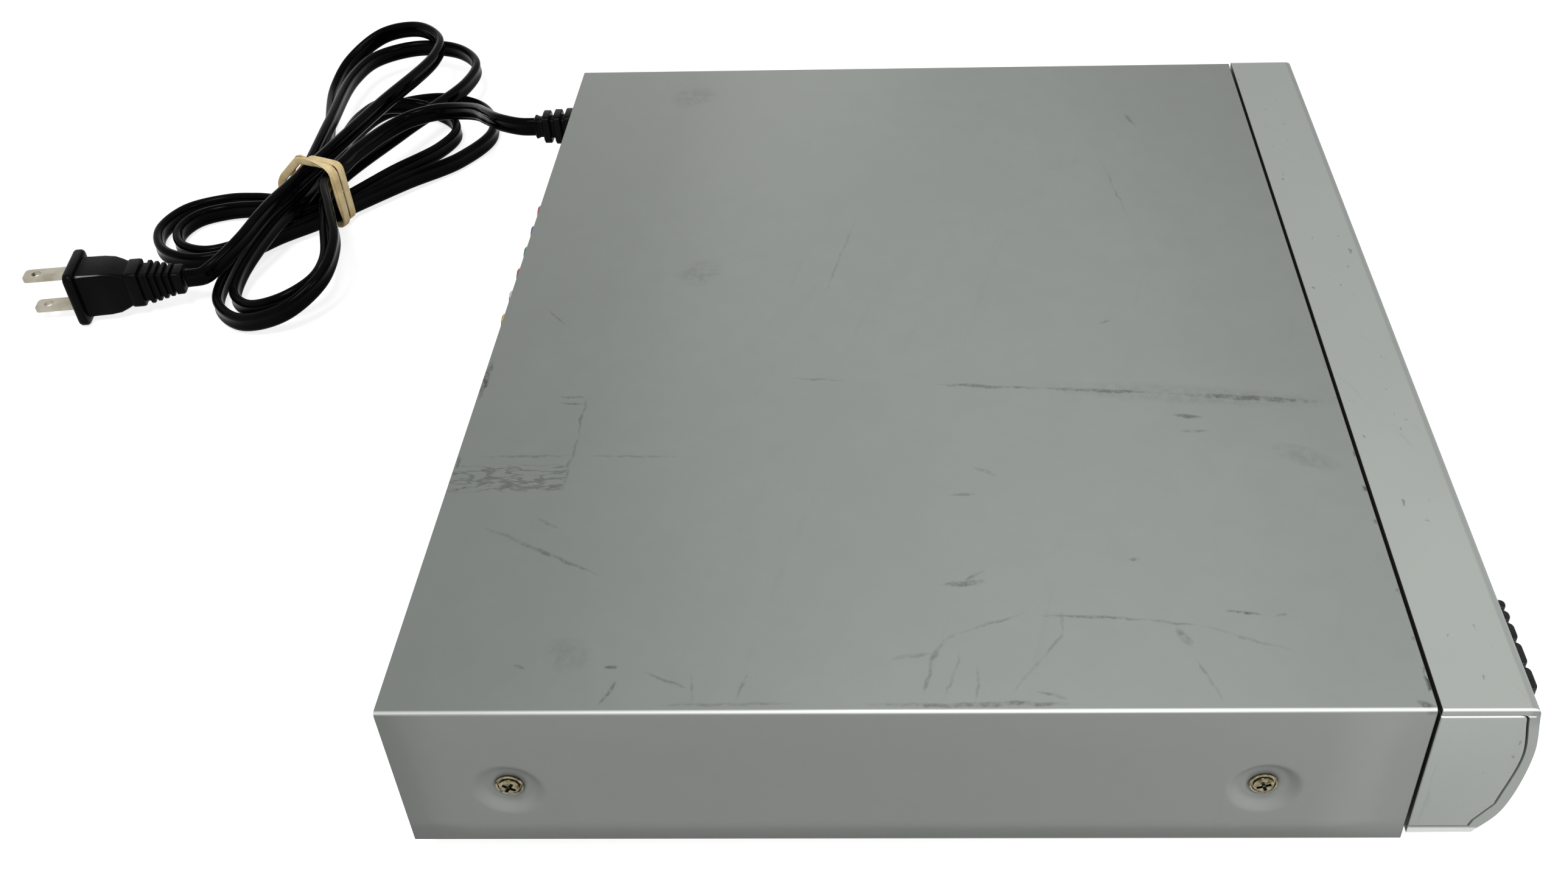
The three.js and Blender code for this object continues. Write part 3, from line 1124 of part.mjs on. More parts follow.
piece("decoder_chip", chipPiece(), finish.chipPlastic);
piece("loader_frame", loaderFrame(), finish.greyPlastic);
piece("disc_tray", discTray(), finish.greyPlastic);
piece("drive_gear", driveGear(), finish.whitePlastic);
piece("pulley_gear", pulleyGear(), finish.whitePlastic);
piece("drive_belt", driveBelt(), finish.rubber);
piece("loading_motor", loadingMotor(), finish.brightSteel);
piece("motor_pulley", motorPulley(), finish.whitePlastic);
piece("cam_slider", camSlider(), finish.whitePlastic);
piece("traverse_chassis", traverseChassis(), finish.zincSteel);
piece("spindle_motor", spindleMotor(), finish.brightSteel);
piece("turntable", turntable(), finish.greyPlastic);
piece("pickup_sled", pickupSled(), finish.greyPlastic);
piece("objective_lens", objectiveLens(), finish.lensGlass);
for (const [name, side] of [["left", -1], ["right", 1]]) {
  piece(`guide_rod_${name}`, rod("y", rail.radius, [rail.front, railRear], [side * rail.x, railHeight], 12), finish.brightSteel);
}
piece("sled_motor", sledMotor(), finish.brightSteel);
piece("lead_screw", leadScrew(), finish.brightSteel);
piece("clamp_bridge", clampBridge(), finish.greyPlastic);
piece("clamp_puck", clampPuck(), finish.whitePlastic);
piece("strain_relief", strainRelief(), finish.cordVinyl);
piece("cord_lead", cordTube(leadRoute, 24, 8), finish.cordVinyl);
piece("cord_hank", cordTube(hankRoute, lobes.length * hank.lobeSteps, 6), finish.cordVinyl);
piece("cord_tail", cordTube(tailRoute, 14, 8), finish.cordVinyl);
piece("plug_body", plugBody(), finish.cordVinyl, plugGroup);
piece("plug_blade_upper", plugBlade(1), finish.bladeMetal, plugGroup);
piece("plug_blade_lower", plugBlade(-1), finish.bladeMetal, plugGroup);
piece("rubber_band", rubberBand(), finish.bandRubber);

// The origin goes under the middle of the player, its lead left out
const frontReach = -front.bulge - key.proud;
const rearReach = coverDepth + jack.reach;
player.position.y = -(frontReach + rearReach) / 2;

const hankSamples = hankRoute.getSpacedPoints(lobes.length * hank.lobeSteps * 3);
const hankSkip = Math.ceil(3 * cord.broad / (hankRoute.getLength() / hankSamples.length));
console.log(`cord: lead ${leadRoute.getLength().toFixed(0)}, hank ${hankRoute.getLength().toFixed(0)}, tail ${tailRoute.getLength().toFixed(0)} mm`);
console.log(`hank's least gap to itself: ${leastGap(hankSamples, hankSamples, hankSkip).toFixed(2)} mm`);

export default player;
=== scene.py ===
"""Looks of a disc player: grey steel cover, silver front, black keys and a hanked mains lead."""

import math

import bmesh
import bpy
from mathutils import Matrix, Vector
from mathutils.geometry import convex_hull_2d, interpolate_bezier


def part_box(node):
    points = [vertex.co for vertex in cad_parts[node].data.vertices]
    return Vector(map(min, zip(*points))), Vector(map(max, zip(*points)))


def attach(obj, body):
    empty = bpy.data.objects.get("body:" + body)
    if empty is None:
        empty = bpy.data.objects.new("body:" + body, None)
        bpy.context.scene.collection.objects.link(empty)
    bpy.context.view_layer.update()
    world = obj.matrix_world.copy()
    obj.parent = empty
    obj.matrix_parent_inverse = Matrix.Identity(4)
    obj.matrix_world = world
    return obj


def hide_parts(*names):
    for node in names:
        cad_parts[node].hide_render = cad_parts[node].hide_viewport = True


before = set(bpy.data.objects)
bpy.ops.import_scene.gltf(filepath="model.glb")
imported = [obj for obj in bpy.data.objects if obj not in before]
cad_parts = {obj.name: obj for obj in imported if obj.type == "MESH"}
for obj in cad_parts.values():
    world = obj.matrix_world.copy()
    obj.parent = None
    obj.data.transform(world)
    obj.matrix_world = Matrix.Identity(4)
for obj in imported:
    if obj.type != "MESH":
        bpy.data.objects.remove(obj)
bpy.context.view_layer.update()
scene = bpy.context.scene
scene.view_settings.view_transform = "Standard"

# Camera. The photograph looks down along the player from beyond its left end,
# with the lens a little off the picture's middle.


def linked(name, data):
    """A new object in the scene that holds the data."""
    made = bpy.data.objects.new(name, data)
    scene.collection.objects.link(made)
    return made


camera = linked("camera", bpy.data.cameras.new("camera"))
camera.location = (-0.39257, 0.00363, 0.33195)
camera.rotation_euler = [math.radians(turn) for turn in (50.03, 1.298, -89.154)]
camera.data.sensor_width = 36
camera.data.lens = 37.04
camera.data.shift_x = -0.061
scene.camera = camera

# Mains lead. A flat twin cord of black vinyl, 1.8 m long, leaves the strain relief,
# is folded into a hank of eight lobes in three layers and ends in its plug. Lengths
# are millimetres from the cover's front edge, as the part's own are.
MM = 0.001
COVER_EDGE = -110.65


def row(x, y, z):
    """A place in the part's own millimetres, moved to the frame's."""
    return Vector((x, y + COVER_EDGE, z))


def place(x, y, z):
    return row(x, y, z) * MM


class Value:
    """A shader socket written in Python sums: every operation adds its Math node."""

    def __init__(self, socket):
        self.socket = socket

    def add(self, kind, inputs, output=0, **settings):
        """Adds any other node: its settings first, then the values or links of its sockets."""
        tree = self.socket.id_data
        made = tree.nodes.new("ShaderNode" + kind)
        for name, setting in settings.items():
            setattr(made, name, setting)
        for name, value in inputs.items():
            if isinstance(value, Value):
                tree.links.new(value.socket, made.inputs[name])
            else:
                made.inputs[name].default_value = value
        return Value(made.outputs[output])

    def math(self, operation, first, second):
        return self.add("Math", {0: first, 1: second}, operation=operation)

    def __add__(self, other):
        return self.math("ADD", self, other)

    def __sub__(self, other):
        return self.math("SUBTRACT", self, other)

    def __rsub__(self, other):
        return self.math("SUBTRACT", other, self)

    def __mul__(self, other):
        return self.math("MULTIPLY", self, other)

    def __abs__(self):
        return self.math("ABSOLUTE", self, 0)

    def highest(self, other):
        return self.math("MAXIMUM", self, other)

    def part(self, axis):
        return self.add("SeparateXYZ", {0: self}, output=axis)

    def noise(self, scale, detail=2.0, roughness=0.5):
        inputs = {"Vector": self, "Scale": scale, "Detail": detail, "Roughness": roughness}
        return self.add("TexNoise", inputs)

    def stretched(self, x, y, z):
        return self.add("VectorMath", {0: self, 1: (x, y, z)}, operation="MULTIPLY")

    def turned(self, degrees):
        inputs = {"Vector": self, "Angle": math.radians(degrees)}
        return self.add("VectorRotate", inputs, rotation_type="Z_AXIS")

    def between(self, low, high):
        """0 at low and 1 at high, held to that range."""
        return self.add("MapRange", {"Value": self, "From Min": low, "From Max": high})

    def past(self, start, full):
        """0 at the first place and 1 at the second, both in millimetres."""
        return self.between(start * MM, full * MM)

    def blend(self, first, second):
        """The first colour where this value is 0 and the second where it is 1."""
        ends = [colour if isinstance(colour, Value) else (*colour, 1) for colour in (first, second)]
        return self.add("Mix", {0: self, 6: ends[0], 7: ends[1]}, output=2, data_type="RGBA")


def finish(name, colour, roughness, metallic=0.0, specular=0.5, coat=0.0):
    """A Principled material with its fixed sockets set, and the object coordinates for its pattern."""
    made = bpy.data.materials.new(name)
    made.use_nodes = True
    shader = made.node_tree.nodes["Principled BSDF"]
    shader.inputs["Base Color"].default_value = (*colour, 1)
    shader.inputs["Roughness"].default_value = roughness
    shader.inputs["Metallic"].default_value = metallic
    shader.inputs["Specular IOR Level"].default_value = specular
    shader.inputs["Coat Weight"].default_value = coat
    coordinates = made.node_tree.nodes.new("ShaderNodeTexCoord")
    return made, Value(coordinates.outputs["Object"])


def vary(material, height=None, depth=0.0, **varied):
    """Links what changes over a surface, and a height in metres to the normal through a Bump node."""
    tree = material.node_tree
    shader = tree.nodes["Principled BSDF"]
    for socket, value in varied.items():
        tree.links.new(value.socket, shader.inputs[socket.replace("_", " ").title()])
    if height is not None:
        bump = height.add("Bump", {"Height": height, "Distance": depth})
        tree.links.new(bump.socket, shader.inputs["Normal"])


def weather(material, mask, tones, gloss, grain, depth):
    """Colour and roughness that follow one mask between their two ends, over a fine grain."""
    smoothest, roughest = gloss
    roughness = mask * (roughest - smoothest) + smoothest
    vary(material, height=grain, depth=depth, base_color=mask.blend(*tones), roughness=roughness)


def smooth_route(points, step):
    """Points at most a step apart on the centripetal spline through the given ones."""
    ends = [2 * points[0] - points[1], *points, 2 * points[-1] - points[-2]]
    route = []
    for before, start, stop, after in zip(ends, ends[1:], ends[2:], ends[3:]):
        a, b, c = [(q - p).length ** 0.5 for p, q in ((before, start), (start, stop), (stop, after))]
        leave = (start - before) / a - (stop - before) / (a + b) + (stop - start) / b
        arrive = (stop - start) / b - (after - start) / (b + c) + (after - stop) / c
        count = max(2, math.ceil((stop - start).length / step) + 1)
        third = b / 3
        route += interpolate_bezier(start, start + leave * third, stop - arrive * third, stop, count)[:-1]
    return [*route, points[-1]]


def swept(name, route, section):
    """A closed mesh made by running a section along a route, its own up axis kept upright."""
    outline = bpy.data.curves.new(name + "_section", "CURVE")
    outline.dimensions = "2D"
    ring = outline.splines.new("POLY")
    ring.points.add(len(section) - 1)
    for point, (across, upright) in zip(ring.points, section):
        point.co = (across, upright, 0, 1)
    ring.use_cyclic_u = True
    profile = linked(name + "_section", outline)
    line = bpy.data.curves.new(name + "_line", "CURVE")
    line.dimensions = "3D"
    line.twist_mode = "Z_UP"
    line.bevel_mode = "OBJECT"
    line.bevel_object = profile
    line.use_fill_caps = True
    run = line.splines.new("POLY")
    run.points.add(len(route) - 1)
    for point, here in zip(run.points, route):
        point.co = (*here, 1)
    carrier = linked(name + "_line", line)
    graph = bpy.context.evaluated_depsgraph_get()
    made = bpy.data.meshes.new_from_object(carrier.evaluated_get(graph))
    made.name = name
    for used in (carrier, profile):
        bpy.data.objects.remove(used)
    return made


def meshed(name, shape):
    """A mesh made from a bmesh, which is freed."""
    mesh = bpy.data.meshes.new(name)
    shape.to_mesh(mesh)
    shape.free()
    return mesh


def show(name, shape, material, body="player", stands_for=(), crease=35):
    """Makes a piece that rides a body, smooth but for edges past the crease angle."""
    mesh = meshed(name, shape) if isinstance(shape, bmesh.types.BMesh) else shape
    mesh.polygons.foreach_set("use_smooth", [True] * len(mesh.polygons))
    mesh.set_sharp_from_angle(angle=math.radians(crease))
    mesh.materials.clear()
    mesh.materials.append(material)
    made = linked(name, mesh)
    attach(made, body)
    if stands_for:
        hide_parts(*stands_for)
    return made


cord_broad = 7.0
cord_thin = 3.4
lead_points = [
    (140, 255.9, 39), (140.2, 262, 39), (145.2, 271.2, 38.2), (155.6, 278.8, 35), (167.5, 286, 30.5),
    (177, 295, 26), (181.8, 306.5, 23), (179, 317.3, 21.4), (170.6, 324.6, 20.8), (160.6, 329.4, 20.8),
    (152.64, 332.57, 20.8),
]
tail_points = [
    (127.66, 350.32, 20.8), (117.5, 353.2, 20.8), (107, 356.2, 19.8), (98, 359.6, 17.6), (91, 364, 15),
    (86.4, 368, 12.9), (84.7, 371, 11.4), (83.64, 377, 11),
]
waist = (141, 345)
strand_pitch = 5.2
strand_start = 0.4
waist_half = 7
layer_heights = (3.9, 11.7, 19.5)
waist_lift = 1.3
climb_share = 0.88
cord_step = 1.8
# A pass through the waist: its side, its place in strand pitches, its angle and its layer
passes = [
    (-1, 1.7, -14, 2), (1, 1.6, -4, 1), (-1, 1, -4, 1), (1, 0.5, -8, 1), (-1, 0.5, -42, 0),
    (1, 1, -42, 0), (-1, 1.5, -42, 0), (1, 2.25, -44, 0), (1, 0.2, -16, 2),
]
# A lobe: its side, reach, radius and angle, and its heights as shares of the way up the pile
lobes = [
    (-1, 77, 22, 0, (0.97, 0.7, 0.3, 0.04, 0.02, 0.16)), (1, 122, 26, -9, (0.5,) * 6),
    (-1, 70, 16.5, 0, (0.5, 0.45, 0.3, 0.1, 0.05, 0.2)), (1, 79, 19, -20, (0.5, 0.42, 0.18, 0, 0, 0)),
    (-1, 54, 15, -66, (0,) * 6), (1, 92, 29, -24, (0,) * 6), (-1, 61, 21, -68, (0,) * 6),
    (1, 124, 24, -1, (0.03, 0.35, 0.82, 1.03, 1.03, 1.02)),
]


def hank_place(along, across, degrees, height):
    turn = math.radians(degrees)
    x = waist[0] + along * math.cos(turn) - across * math.sin(turn)
    y = waist[1] + along * math.sin(turn) + across * math.cos(turn)
    return Vector((x, y, height))


def touch_angle(centre, radius, along, across):
    away = math.hypot(centre - along, across)
    return math.pi - math.atan2(abs(across), centre - along) - math.acos(radius / away)


def across_of(side, spot):
    return side * (strand_start + spot * strand_pitch)


def mid_run(lobe_end, waist_end):
    middle = lobe_end.lerp(waist_end, 0.5)
    middle.z = lobe_end.z + (waist_end.z - lobe_end.z) * climb_share
    return middle


def hank_points():
    points = []
    rise = layer_heights[2] - layer_heights[0]
    for k, (side, spot, angle, layer) in enumerate(passes):
        heading = -1 if k % 2 == 0 else 1
        height = layer_heights[layer] + waist_lift
        for along in (-heading * waist_half, heading * waist_half):
            points.append(hank_place(along, across_of(side, spot), angle, height))
        if k == len(lobes):
            return points
        lobe_side, reach, radius, lobe_angle, heights = lobes[k]
        next_side, next_spot, next_angle, next_layer = passes[k + 1]
        centre = reach - radius
        first = touch_angle(centre, radius, waist_half, across_of(side, spot))
        last = -touch_angle(centre, radius, waist_half, across_of(next_side, next_spot))
        arc = []
        for i, share in enumerate(heights):
            turn = first + (last - first) * i / (len(heights) - 1)
            along = lobe_side * (centre + radius * math.cos(turn))
            across = side * radius * math.sin(turn)
            arc.append(hank_place(along, across, lobe_angle, layer_heights[0] + rise * share))
        next_height = layer_heights[next_layer] + waist_lift
        entry = hank_place(heading * waist_half, across_of(next_side, next_spot), next_angle, next_height)
        points += [mid_run(arc[0], points[-1]), *arc, mid_run(arc[-1], entry)]
    return points


def twin_section(broad, thin, steps=9, valley_angle=62):
    """Two round conductors side by side, met in a shallow valley, as a closed outline."""
    radius = thin / 2
    offset = broad / 2 - radius
    valley = math.radians(valley_angle)
    arc = [valley - math.pi / 2 + (math.pi - valley) * k / steps for k in range(steps + 1)]
    upper_right = [(radius * math.cos(turn), offset + radius * math.sin(turn)) for turn in arc[:-1]]
    upper_left = [(-x, y) for x, y in [(0, offset + radius), *reversed(upper_right)]]
    upper = [*upper_right, *upper_left]
    return [*upper, *[(-x, -y) for x, y in upper]]


route_points = [place(*point) for point in (*lead_points, *hank_points(), *tail_points)]
cord_route = smooth_route(route_points, cord_step * MM)

vinyl, at = finish("cord_vinyl", (0.001, 0.001, 0.0012), 0.16, specular=0.025)
tones = (0.0009, 0.0009, 0.0011), (0.0032, 0.0032, 0.0036)
weather(vinyl, at.noise(55, 3).between(0.45, 0.75), tones, (0.15, 0.27), at.noise(420, 3), 0.00004)
section = twin_section(cord_broad * MM, cord_thin * MM)
cord = show(
    "mains_cord", swept("mains_cord", cord_route, section), vinyl,
    stands_for=("cord_lead", "cord_hank", "cord_tail"), crease=60)

# Plug. A two-blade plug moulded on the cord in black vinyl: flange, body with a parting
# edge picked out by a painted highlight, a collar and a ribbed tail that flexes. It lies on its side.
plug_turn = 7.8
plug_spot = place(78.5, 414.5, 11)
plug_frame = Matrix.Translation(plug_spot) @ Matrix.Rotation(math.radians(plug_turn), 4, "Z")
ring_sides = 40


def lofted(rings):
    """A closed form through rounded rectangles, each with its place along Y, width, height and corner."""
    shape = bmesh.new()
    loops = []
    for along, width, height, corner in rings:
        ring = bmesh.ops.create_circle(shape, segments=ring_sides, radius=1)["verts"]
        half_step = Matrix.Rotation(math.pi / ring_sides, 3, "Z")
        bmesh.ops.rotate(shape, verts=ring, matrix=half_step)
        for vert in ring:
            c, s = vert.co.x, vert.co.y
            x = math.copysign(width / 2 - corner, c) + corner * c
            z = math.copysign(height / 2 - corner, s) + corner * s
            vert.co = Vector((x, along, z)) * MM
        loops.append(list({edge for vert in ring for edge in vert.link_edges}))
    for first, second in zip(loops, loops[1:]):
        bmesh.ops.bridge_loops(shape, edges=[*first, *second])
    for loop in (loops[0], loops[-1]):
        bmesh.ops.contextual_create(shape, geom=loop)
    bmesh.ops.recalc_face_normals(shape, faces=shape.faces)
    return shape


def rib_rings(start, stop, ends, count, groove, depth, corner, lip=0.35):
    """Rings of a tapering row of ribs with rounded lips, from start to stop along Y."""
    (wide, tall), (wide_end, tall_end) = ends
    pitch = (stop - start) / count
    rings = []
    for k in range(count):
        share = k / max(1, count - 1)
        width, height = wide + (wide_end - wide) * share, tall + (tall_end - tall) * share
        low, high = start + k * pitch, start + (k + 1) * pitch - math.copysign(groove, pitch)
        toward = math.copysign(lip, pitch)
        rings += [
            (low, width - 2 * lip, height - 2 * lip, corner), (low + toward, width, height, corner),
            (high - toward, width, height, corner), (high, width - 2 * lip, height - 2 * lip, corner),
            (high + toward / 2, width - depth, height - depth, corner * 0.8),
            (start + (k + 1) * pitch, width - depth, height - depth, corner * 0.8),
        ]
    return rings


moulded, at = finish("moulded_vinyl", (0.002, 0.002, 0.0022), 0.26, specular=0.045)
inputs = {"Vector": at, "Location": plug_spot, "Rotation": (0, 0, math.radians(plug_turn))}
on_plug = at.add("Mapping", inputs, vector_type="TEXTURE")
# Painted highlight: a pale line along the body's parting edge, where the light would catch it.
painted_ridge_highlight = on_plug.part(0).past(-6.1, -6.5) * on_plug.part(2).past(8.1, 8.5)
painted_ridge_highlight = painted_ridge_highlight * on_plug.part(1).past(-17.5, -9) * on_plug.part(1).past(-3.6, -4.4)
worn = at.noise(35, 3).between(0.5, 0.75)
base = worn.blend((0.0014, 0.0014, 0.0017), (0.005, 0.005, 0.0054))
vary(
    moulded, height=at.noise(900, 2), depth=0.00004,
    roughness=at.noise(60, 3).between(0.3, 0.8) * 0.2 + 0.24,
    base_color=painted_ridge_highlight.blend(base, (0.42, 0.42, 0.43)))
plug_rings = [
    (0, 18.4, 19.9, 2.4), (-0.3, 19.4, 20.9, 2.5), (-0.9, 20, 21.5, 2.6), (-2.7, 20, 21.5, 2.6),
    (-3.3, 19.4, 20.9, 2.5), (-3.5, 18.4, 19.9, 2.2), (-3.6, 14.6, 18, 1.4), (-4.1, 13.8, 17.5, 1.1),
    (-6, 13.4, 17.4, 1), (-11, 13.4, 17.2, 1), (-14.5, 13, 16.4, 1.1), (-17, 12, 14.6, 1.3),
    (-18.6, 11, 13.2, 1.4), (-18.9, 11.6, 13.8, 1.6), (-19.4, 11.9, 14.1, 1.6), (-22.6, 11.9, 14.1, 1.6),
    (-23.2, 11.6, 13.8, 1.6), (-23.5, 9.4, 11.4, 1.4), (-25.2, 9.4, 11.4, 1.4),
]
plug_rings += rib_rings(
    -25.3, -34.5, ((11, 12.6), (8.6, 9.8)), count=4, groove=0.9, depth=2.2, corner=1.5, lip=0.25)
plug_rings += [(-34.6, 8, 9.2, 1.6), (-36.8, 8, 9, 1.6), (-37.3, 7.4, 8.4, 1.5), (-37.45, 6.2, 7.4, 1.2)]
plug_shape = lofted(plug_rings)
plug_shape.transform(plug_frame)
plug = show("mains_plug", plug_shape, moulded, stands_for=("plug_body",), crease=40)

# Blades. Flat nickel-plated brass, 6.35 mm wide and 12.7 mm apart, with their tips
# chamfered and a round hole through each.
blade_size = Vector((6.35, 22, 1.5))
blade_reach = 16
blade_spread = 12.7
blade_hole = 1.6
blade_hole_reach = 11.7
blade_tip = 1.5
cut_past = 2
exact = 1e-6


def bevelled(shape, edges, offset, segments):
    """Rounds some edges of a bmesh by an offset in millimetres."""
    bmesh.ops.bevel(
        shape, geom=edges, offset=offset * MM, affect="EDGES", segments=segments, profile=0.5, material=-1)


def edges_at(shape, axis, spot):
    """The edges of a bmesh that lie whole at one place along an axis."""
    return [e for e in shape.edges if all(abs(v.co[axis] - spot) < exact for v in e.verts)]


def span(edge, axis):
    return abs(edge.verts[0].co[axis] - edge.verts[1].co[axis])


def boxed(low, high, edge=0.0, segments=2):
    """A bmesh box between two corners in millimetres, its edges bevelled."""
    shape = bmesh.new()
    low, high = Vector(low), Vector(high)
    bmesh.ops.create_cube(shape, size=1)
    bmesh.ops.scale(shape, vec=(high - low) * MM, verts=shape.verts)
    bmesh.ops.translate(shape, vec=(high + low) / 2 * MM, verts=shape.verts)
    if edge:
        bevelled(shape, shape.edges, edge, segments)
    return shape


def frame_at(spot, direction):
    """A frame at a place, its Z axis along a direction."""
    return Matrix.Translation(spot) @ direction.to_track_quat("Z", "Y").to_matrix().to_4x4()


def bar(radius, start, stop, sides=32):
    """A closed round bar between two points in millimetres."""
    shape = bmesh.new()
    line = (Vector(stop) - Vector(start)) * MM
    bmesh.ops.create_cone(
        shape, cap_ends=True, segments=sides, radius1=radius * MM, radius2=radius * MM, depth=line.length)
    shape.transform(frame_at((Vector(start) + Vector(stop)) / 2 * MM, line))
    return shape


def carved(shape, tool, operation="DIFFERENCE"):
    """The shape with a tool cut away from it, or with only what lies in the tool kept."""
    holders = [linked("carving", meshed("carving", part)) for part in (shape, tool)]
    cut = holders[0].modifiers.new("cut", "BOOLEAN")
    cut.operation = operation
    cut.solver = "EXACT"
    cut.object = holders[1]
    result = bmesh.new()
    result.from_object(holders[0], bpy.context.evaluated_depsgraph_get())
    for holder in holders:
        mesh = holder.data
        bpy.data.objects.remove(holder)
        bpy.data.meshes.remove(mesh)
    return result


nickel, at = finish("blade_nickel", (0.40, 0.375, 0.30), 0.34, 0.9)
brushed = at.stretched(60, 900, 60).noise(1, 2)
dulled = at.noise(160, 3).between(0.4, 0.7)
vary(
    nickel, height=brushed, depth=0.00003, roughness=brushed * 0.2 + 0.26,
    base_color=dulled.blend((0.43, 0.405, 0.33), (0.30, 0.27, 0.20)))
half_blade = blade_size / 2
for name, side in (("upper", 1), ("lower", -1)):
    middle = side * blade_spread / 2
    blade = boxed(
        (-half_blade.x, blade_reach - blade_size.y, middle - half_blade.z),
        (half_blade.x, blade_reach, middle + half_blade.z))
    tips = [e for e in edges_at(blade, 1, blade_reach * MM) if span(e, 0) < exact]
    bevelled(blade, tips, blade_tip, 4)
    hole_ends = [(0, blade_hole_reach, middle + way * cut_past) for way in (-1, 1)]
    blade = carved(blade, bar(blade_hole, *hole_ends))
    blade.transform(plug_frame)
    show("plug_contact_" + name, blade, nickel, stands_for=("plug_blade_" + name,))

# Strain relief. Soft black ribs on a core, snapped into the rear panel, narrowing
# towards the cord.
relief_spot = place(140, 237.5, 39)
relief_rings = [
    (-9.5, 8.4, 10.8, 1.8), (-9.2, 9, 11.4, 2), (-1.8, 9, 11.4, 2), (-1.5, 8.4, 10.8, 1.8),
    (-1.3, 7.2, 9.6, 1.8), (0.3, 7.2, 9.6, 1.8)]
relief_rings += rib_rings(0.4, 17.2, ((9.6, 12.4), (8.1, 10.9)), count=4, groove=1.4, depth=3.4, corner=2)
relief_rings += [(18.6, 5.6, 8.4, 1.6), (19, 4.8, 7.8, 1.4)]
relief = lofted(relief_rings)
relief.transform(Matrix.Translation(relief_spot))
show("cord_relief", relief, moulded, stands_for=("strain_relief",), crease=40)

# Rubber band. One flat tan band wound three times round the hank's waist: one turn
# lies flat, the next crosses over it with a half twist and the last lies on its edge.
band_angle = -24
band_width = 3.0
band_thickness = 0.9
band_steps = 96
band_reach = 3.5
band_sides = 16
band_lift = 0.08
pile_half_width = 17
core_lift = 1.7
core_reach = 1.8 + 0.6 * band_thickness
core_sides = 12
# A turn: its lane and twist where it comes up over the hank, and the same where it goes down
band_turns = [((1.8, 0), (2.6, 0)), ((2.4, 0), (-1.8, 0.5)), ((-3.4, 0.5), (-2.6, 1))]


def to_band(point):
    """A route point as its places along the strands, across them and up, in millimetres."""
    offset = (point - place(*waist, 0)) / MM
    flat = Matrix.Rotation(math.radians(-band_angle), 3, "Z") @ Vector((offset.x, offset.y, 0))
    return flat.x, flat.y, offset.z


def eased(value):
    value = min(1, max(0, value))
    return value * value * (3 - 2 * value)


# The band is taut, so it follows the outline of the strands that it holds
strand_spots = []
for along, across, up in map(to_band, cord_route):
    if abs(along) < band_reach and abs(across) < pile_half_width:
        for lift in (-core_lift, core_lift):
            for k in range(core_sides):
                turn = 2 * math.pi * k / core_sides
                spot = (across + core_reach * math.cos(turn), up + lift + core_reach * math.sin(turn))
                strand_spots.append(Vector(spot))
outline = [strand_spots[k] for k in convex_hull_2d(strand_spots)]
if (outline[1] - outline[0]).cross(outline[2] - outline[1]) < 0:
    outline.reverse()
first = max(range(len(outline)), key=lambda k: outline[k].x)
outline = [*outline[first:], *outline[:first], outline[first]]
lengths = [(b - a).length for a, b in zip(outline, outline[1:])]
loop = []
for k in range(band_steps):
    left = sum(lengths) * k / band_steps
    for a, b, length in zip(outline, outline[1:], lengths):
        if left <= length:
            loop.append((a.lerp(b, left / length), Vector((b.y - a.y, a.x - b.x)).normalized()))
            break
        left -= length
band_shape = bmesh.new()
band_frame = Matrix.Rotation(math.radians(band_angle), 3, "Z")
turn_lifts = (0, 0.95, 0.3)
edge_lift = 0.42
corner_powers = (0.45, 0.6)
# Where along a turn something starts, and the share of the turn that it takes
crossing_over = (0.1, 0.3)
crossing_under = (0.55, 0.4)
edge_twists = ((0, 0.14), (0.32, 0.16))


def passed(share, start, taken):
    return eased((share - start) / taken)


rings = []
for turn, ((lane_up, twist_up), (lane_down, twist_down)) in enumerate(band_turns):
    lane_next = band_turns[(turn + 1) % len(band_turns)][0][0]
    for k, (spot, outward) in enumerate(loop):
        share = k / band_steps
        over = passed(share, *crossing_over)
        under = passed(share, *crossing_under)
        along = lane_up + (lane_down - lane_up) * over + (lane_next - lane_down) * under
        twist = math.pi * (twist_up + (twist_down - twist_up) * over)
        if turn == 1:
            twist = math.pi * over
        if turn == 2:
            twist = math.pi * (1 + sum(passed(share, *times) for times in edge_twists) / 2)
        out = turn_lifts[turn] + abs(math.sin(twist)) * band_width * edge_lift
        ring = bmesh.ops.create_circle(band_shape, segments=band_sides, radius=1)["verts"]
        for vert in ring:
            c, s = vert.co.x, vert.co.y
            wide = math.copysign(abs(c) ** corner_powers[0], c) * band_width / 2
            thick = math.copysign(abs(s) ** corner_powers[1], s) * band_thickness / 2
            beside = wide * math.cos(twist) - thick * math.sin(twist)
            away = out + wide * math.sin(twist) + thick * math.cos(twist)
            flat = band_frame @ Vector((along + beside, spot.x + outward.x * away, 0))
            height = max(band_lift, spot.y + outward.y * away)
            vert.co = place(waist[0] + flat.x, waist[1] + flat.y, height)
        rings.append(list({edge for vert in ring for edge in vert.link_edges}))
for first, second in zip(rings, [*rings[1:], rings[0]]):
    bmesh.ops.bridge_loops(band_shape, edges=[*first, *second])
bmesh.ops.recalc_face_normals(band_shape, faces=band_shape.faces)
tan_rubber, at = finish("band_rubber", (0.74, 0.58, 0.31), 0.6, specular=0.3)
worn = at.noise(240, 3)
vary(
    tan_rubber, height=at.noise(1400, 2), depth=0.00006,
    base_color=worn.between(0.35, 0.7).blend((0.80, 0.64, 0.36), (0.62, 0.46, 0.22)),
    roughness=worn * 0.2 + 0.5)
band = show(
    "wound_band", band_shape, tan_rubber, stands_for=("rubber_band",), crease=50)

# Cover. One sheet of 0.8 mm steel folded over the top and both sides, painted satin
# grey, with four stamped dishes for the side screws and two tabs down the back.
cover_low, cover_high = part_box("top_cover")
half_width = 155
cover_sheet = 0.8
cover_fold = 1.2
dish_radius = 9.2
dish_flat = 5.4
dish_depth = 1.7
dish_hole = 1.6
dish_height = 26
dish_setbacks = (34.9, 212.4)
dish_patch = 12
dish_margin = 1.2
dish_cuts = 15
dish_rings = 10


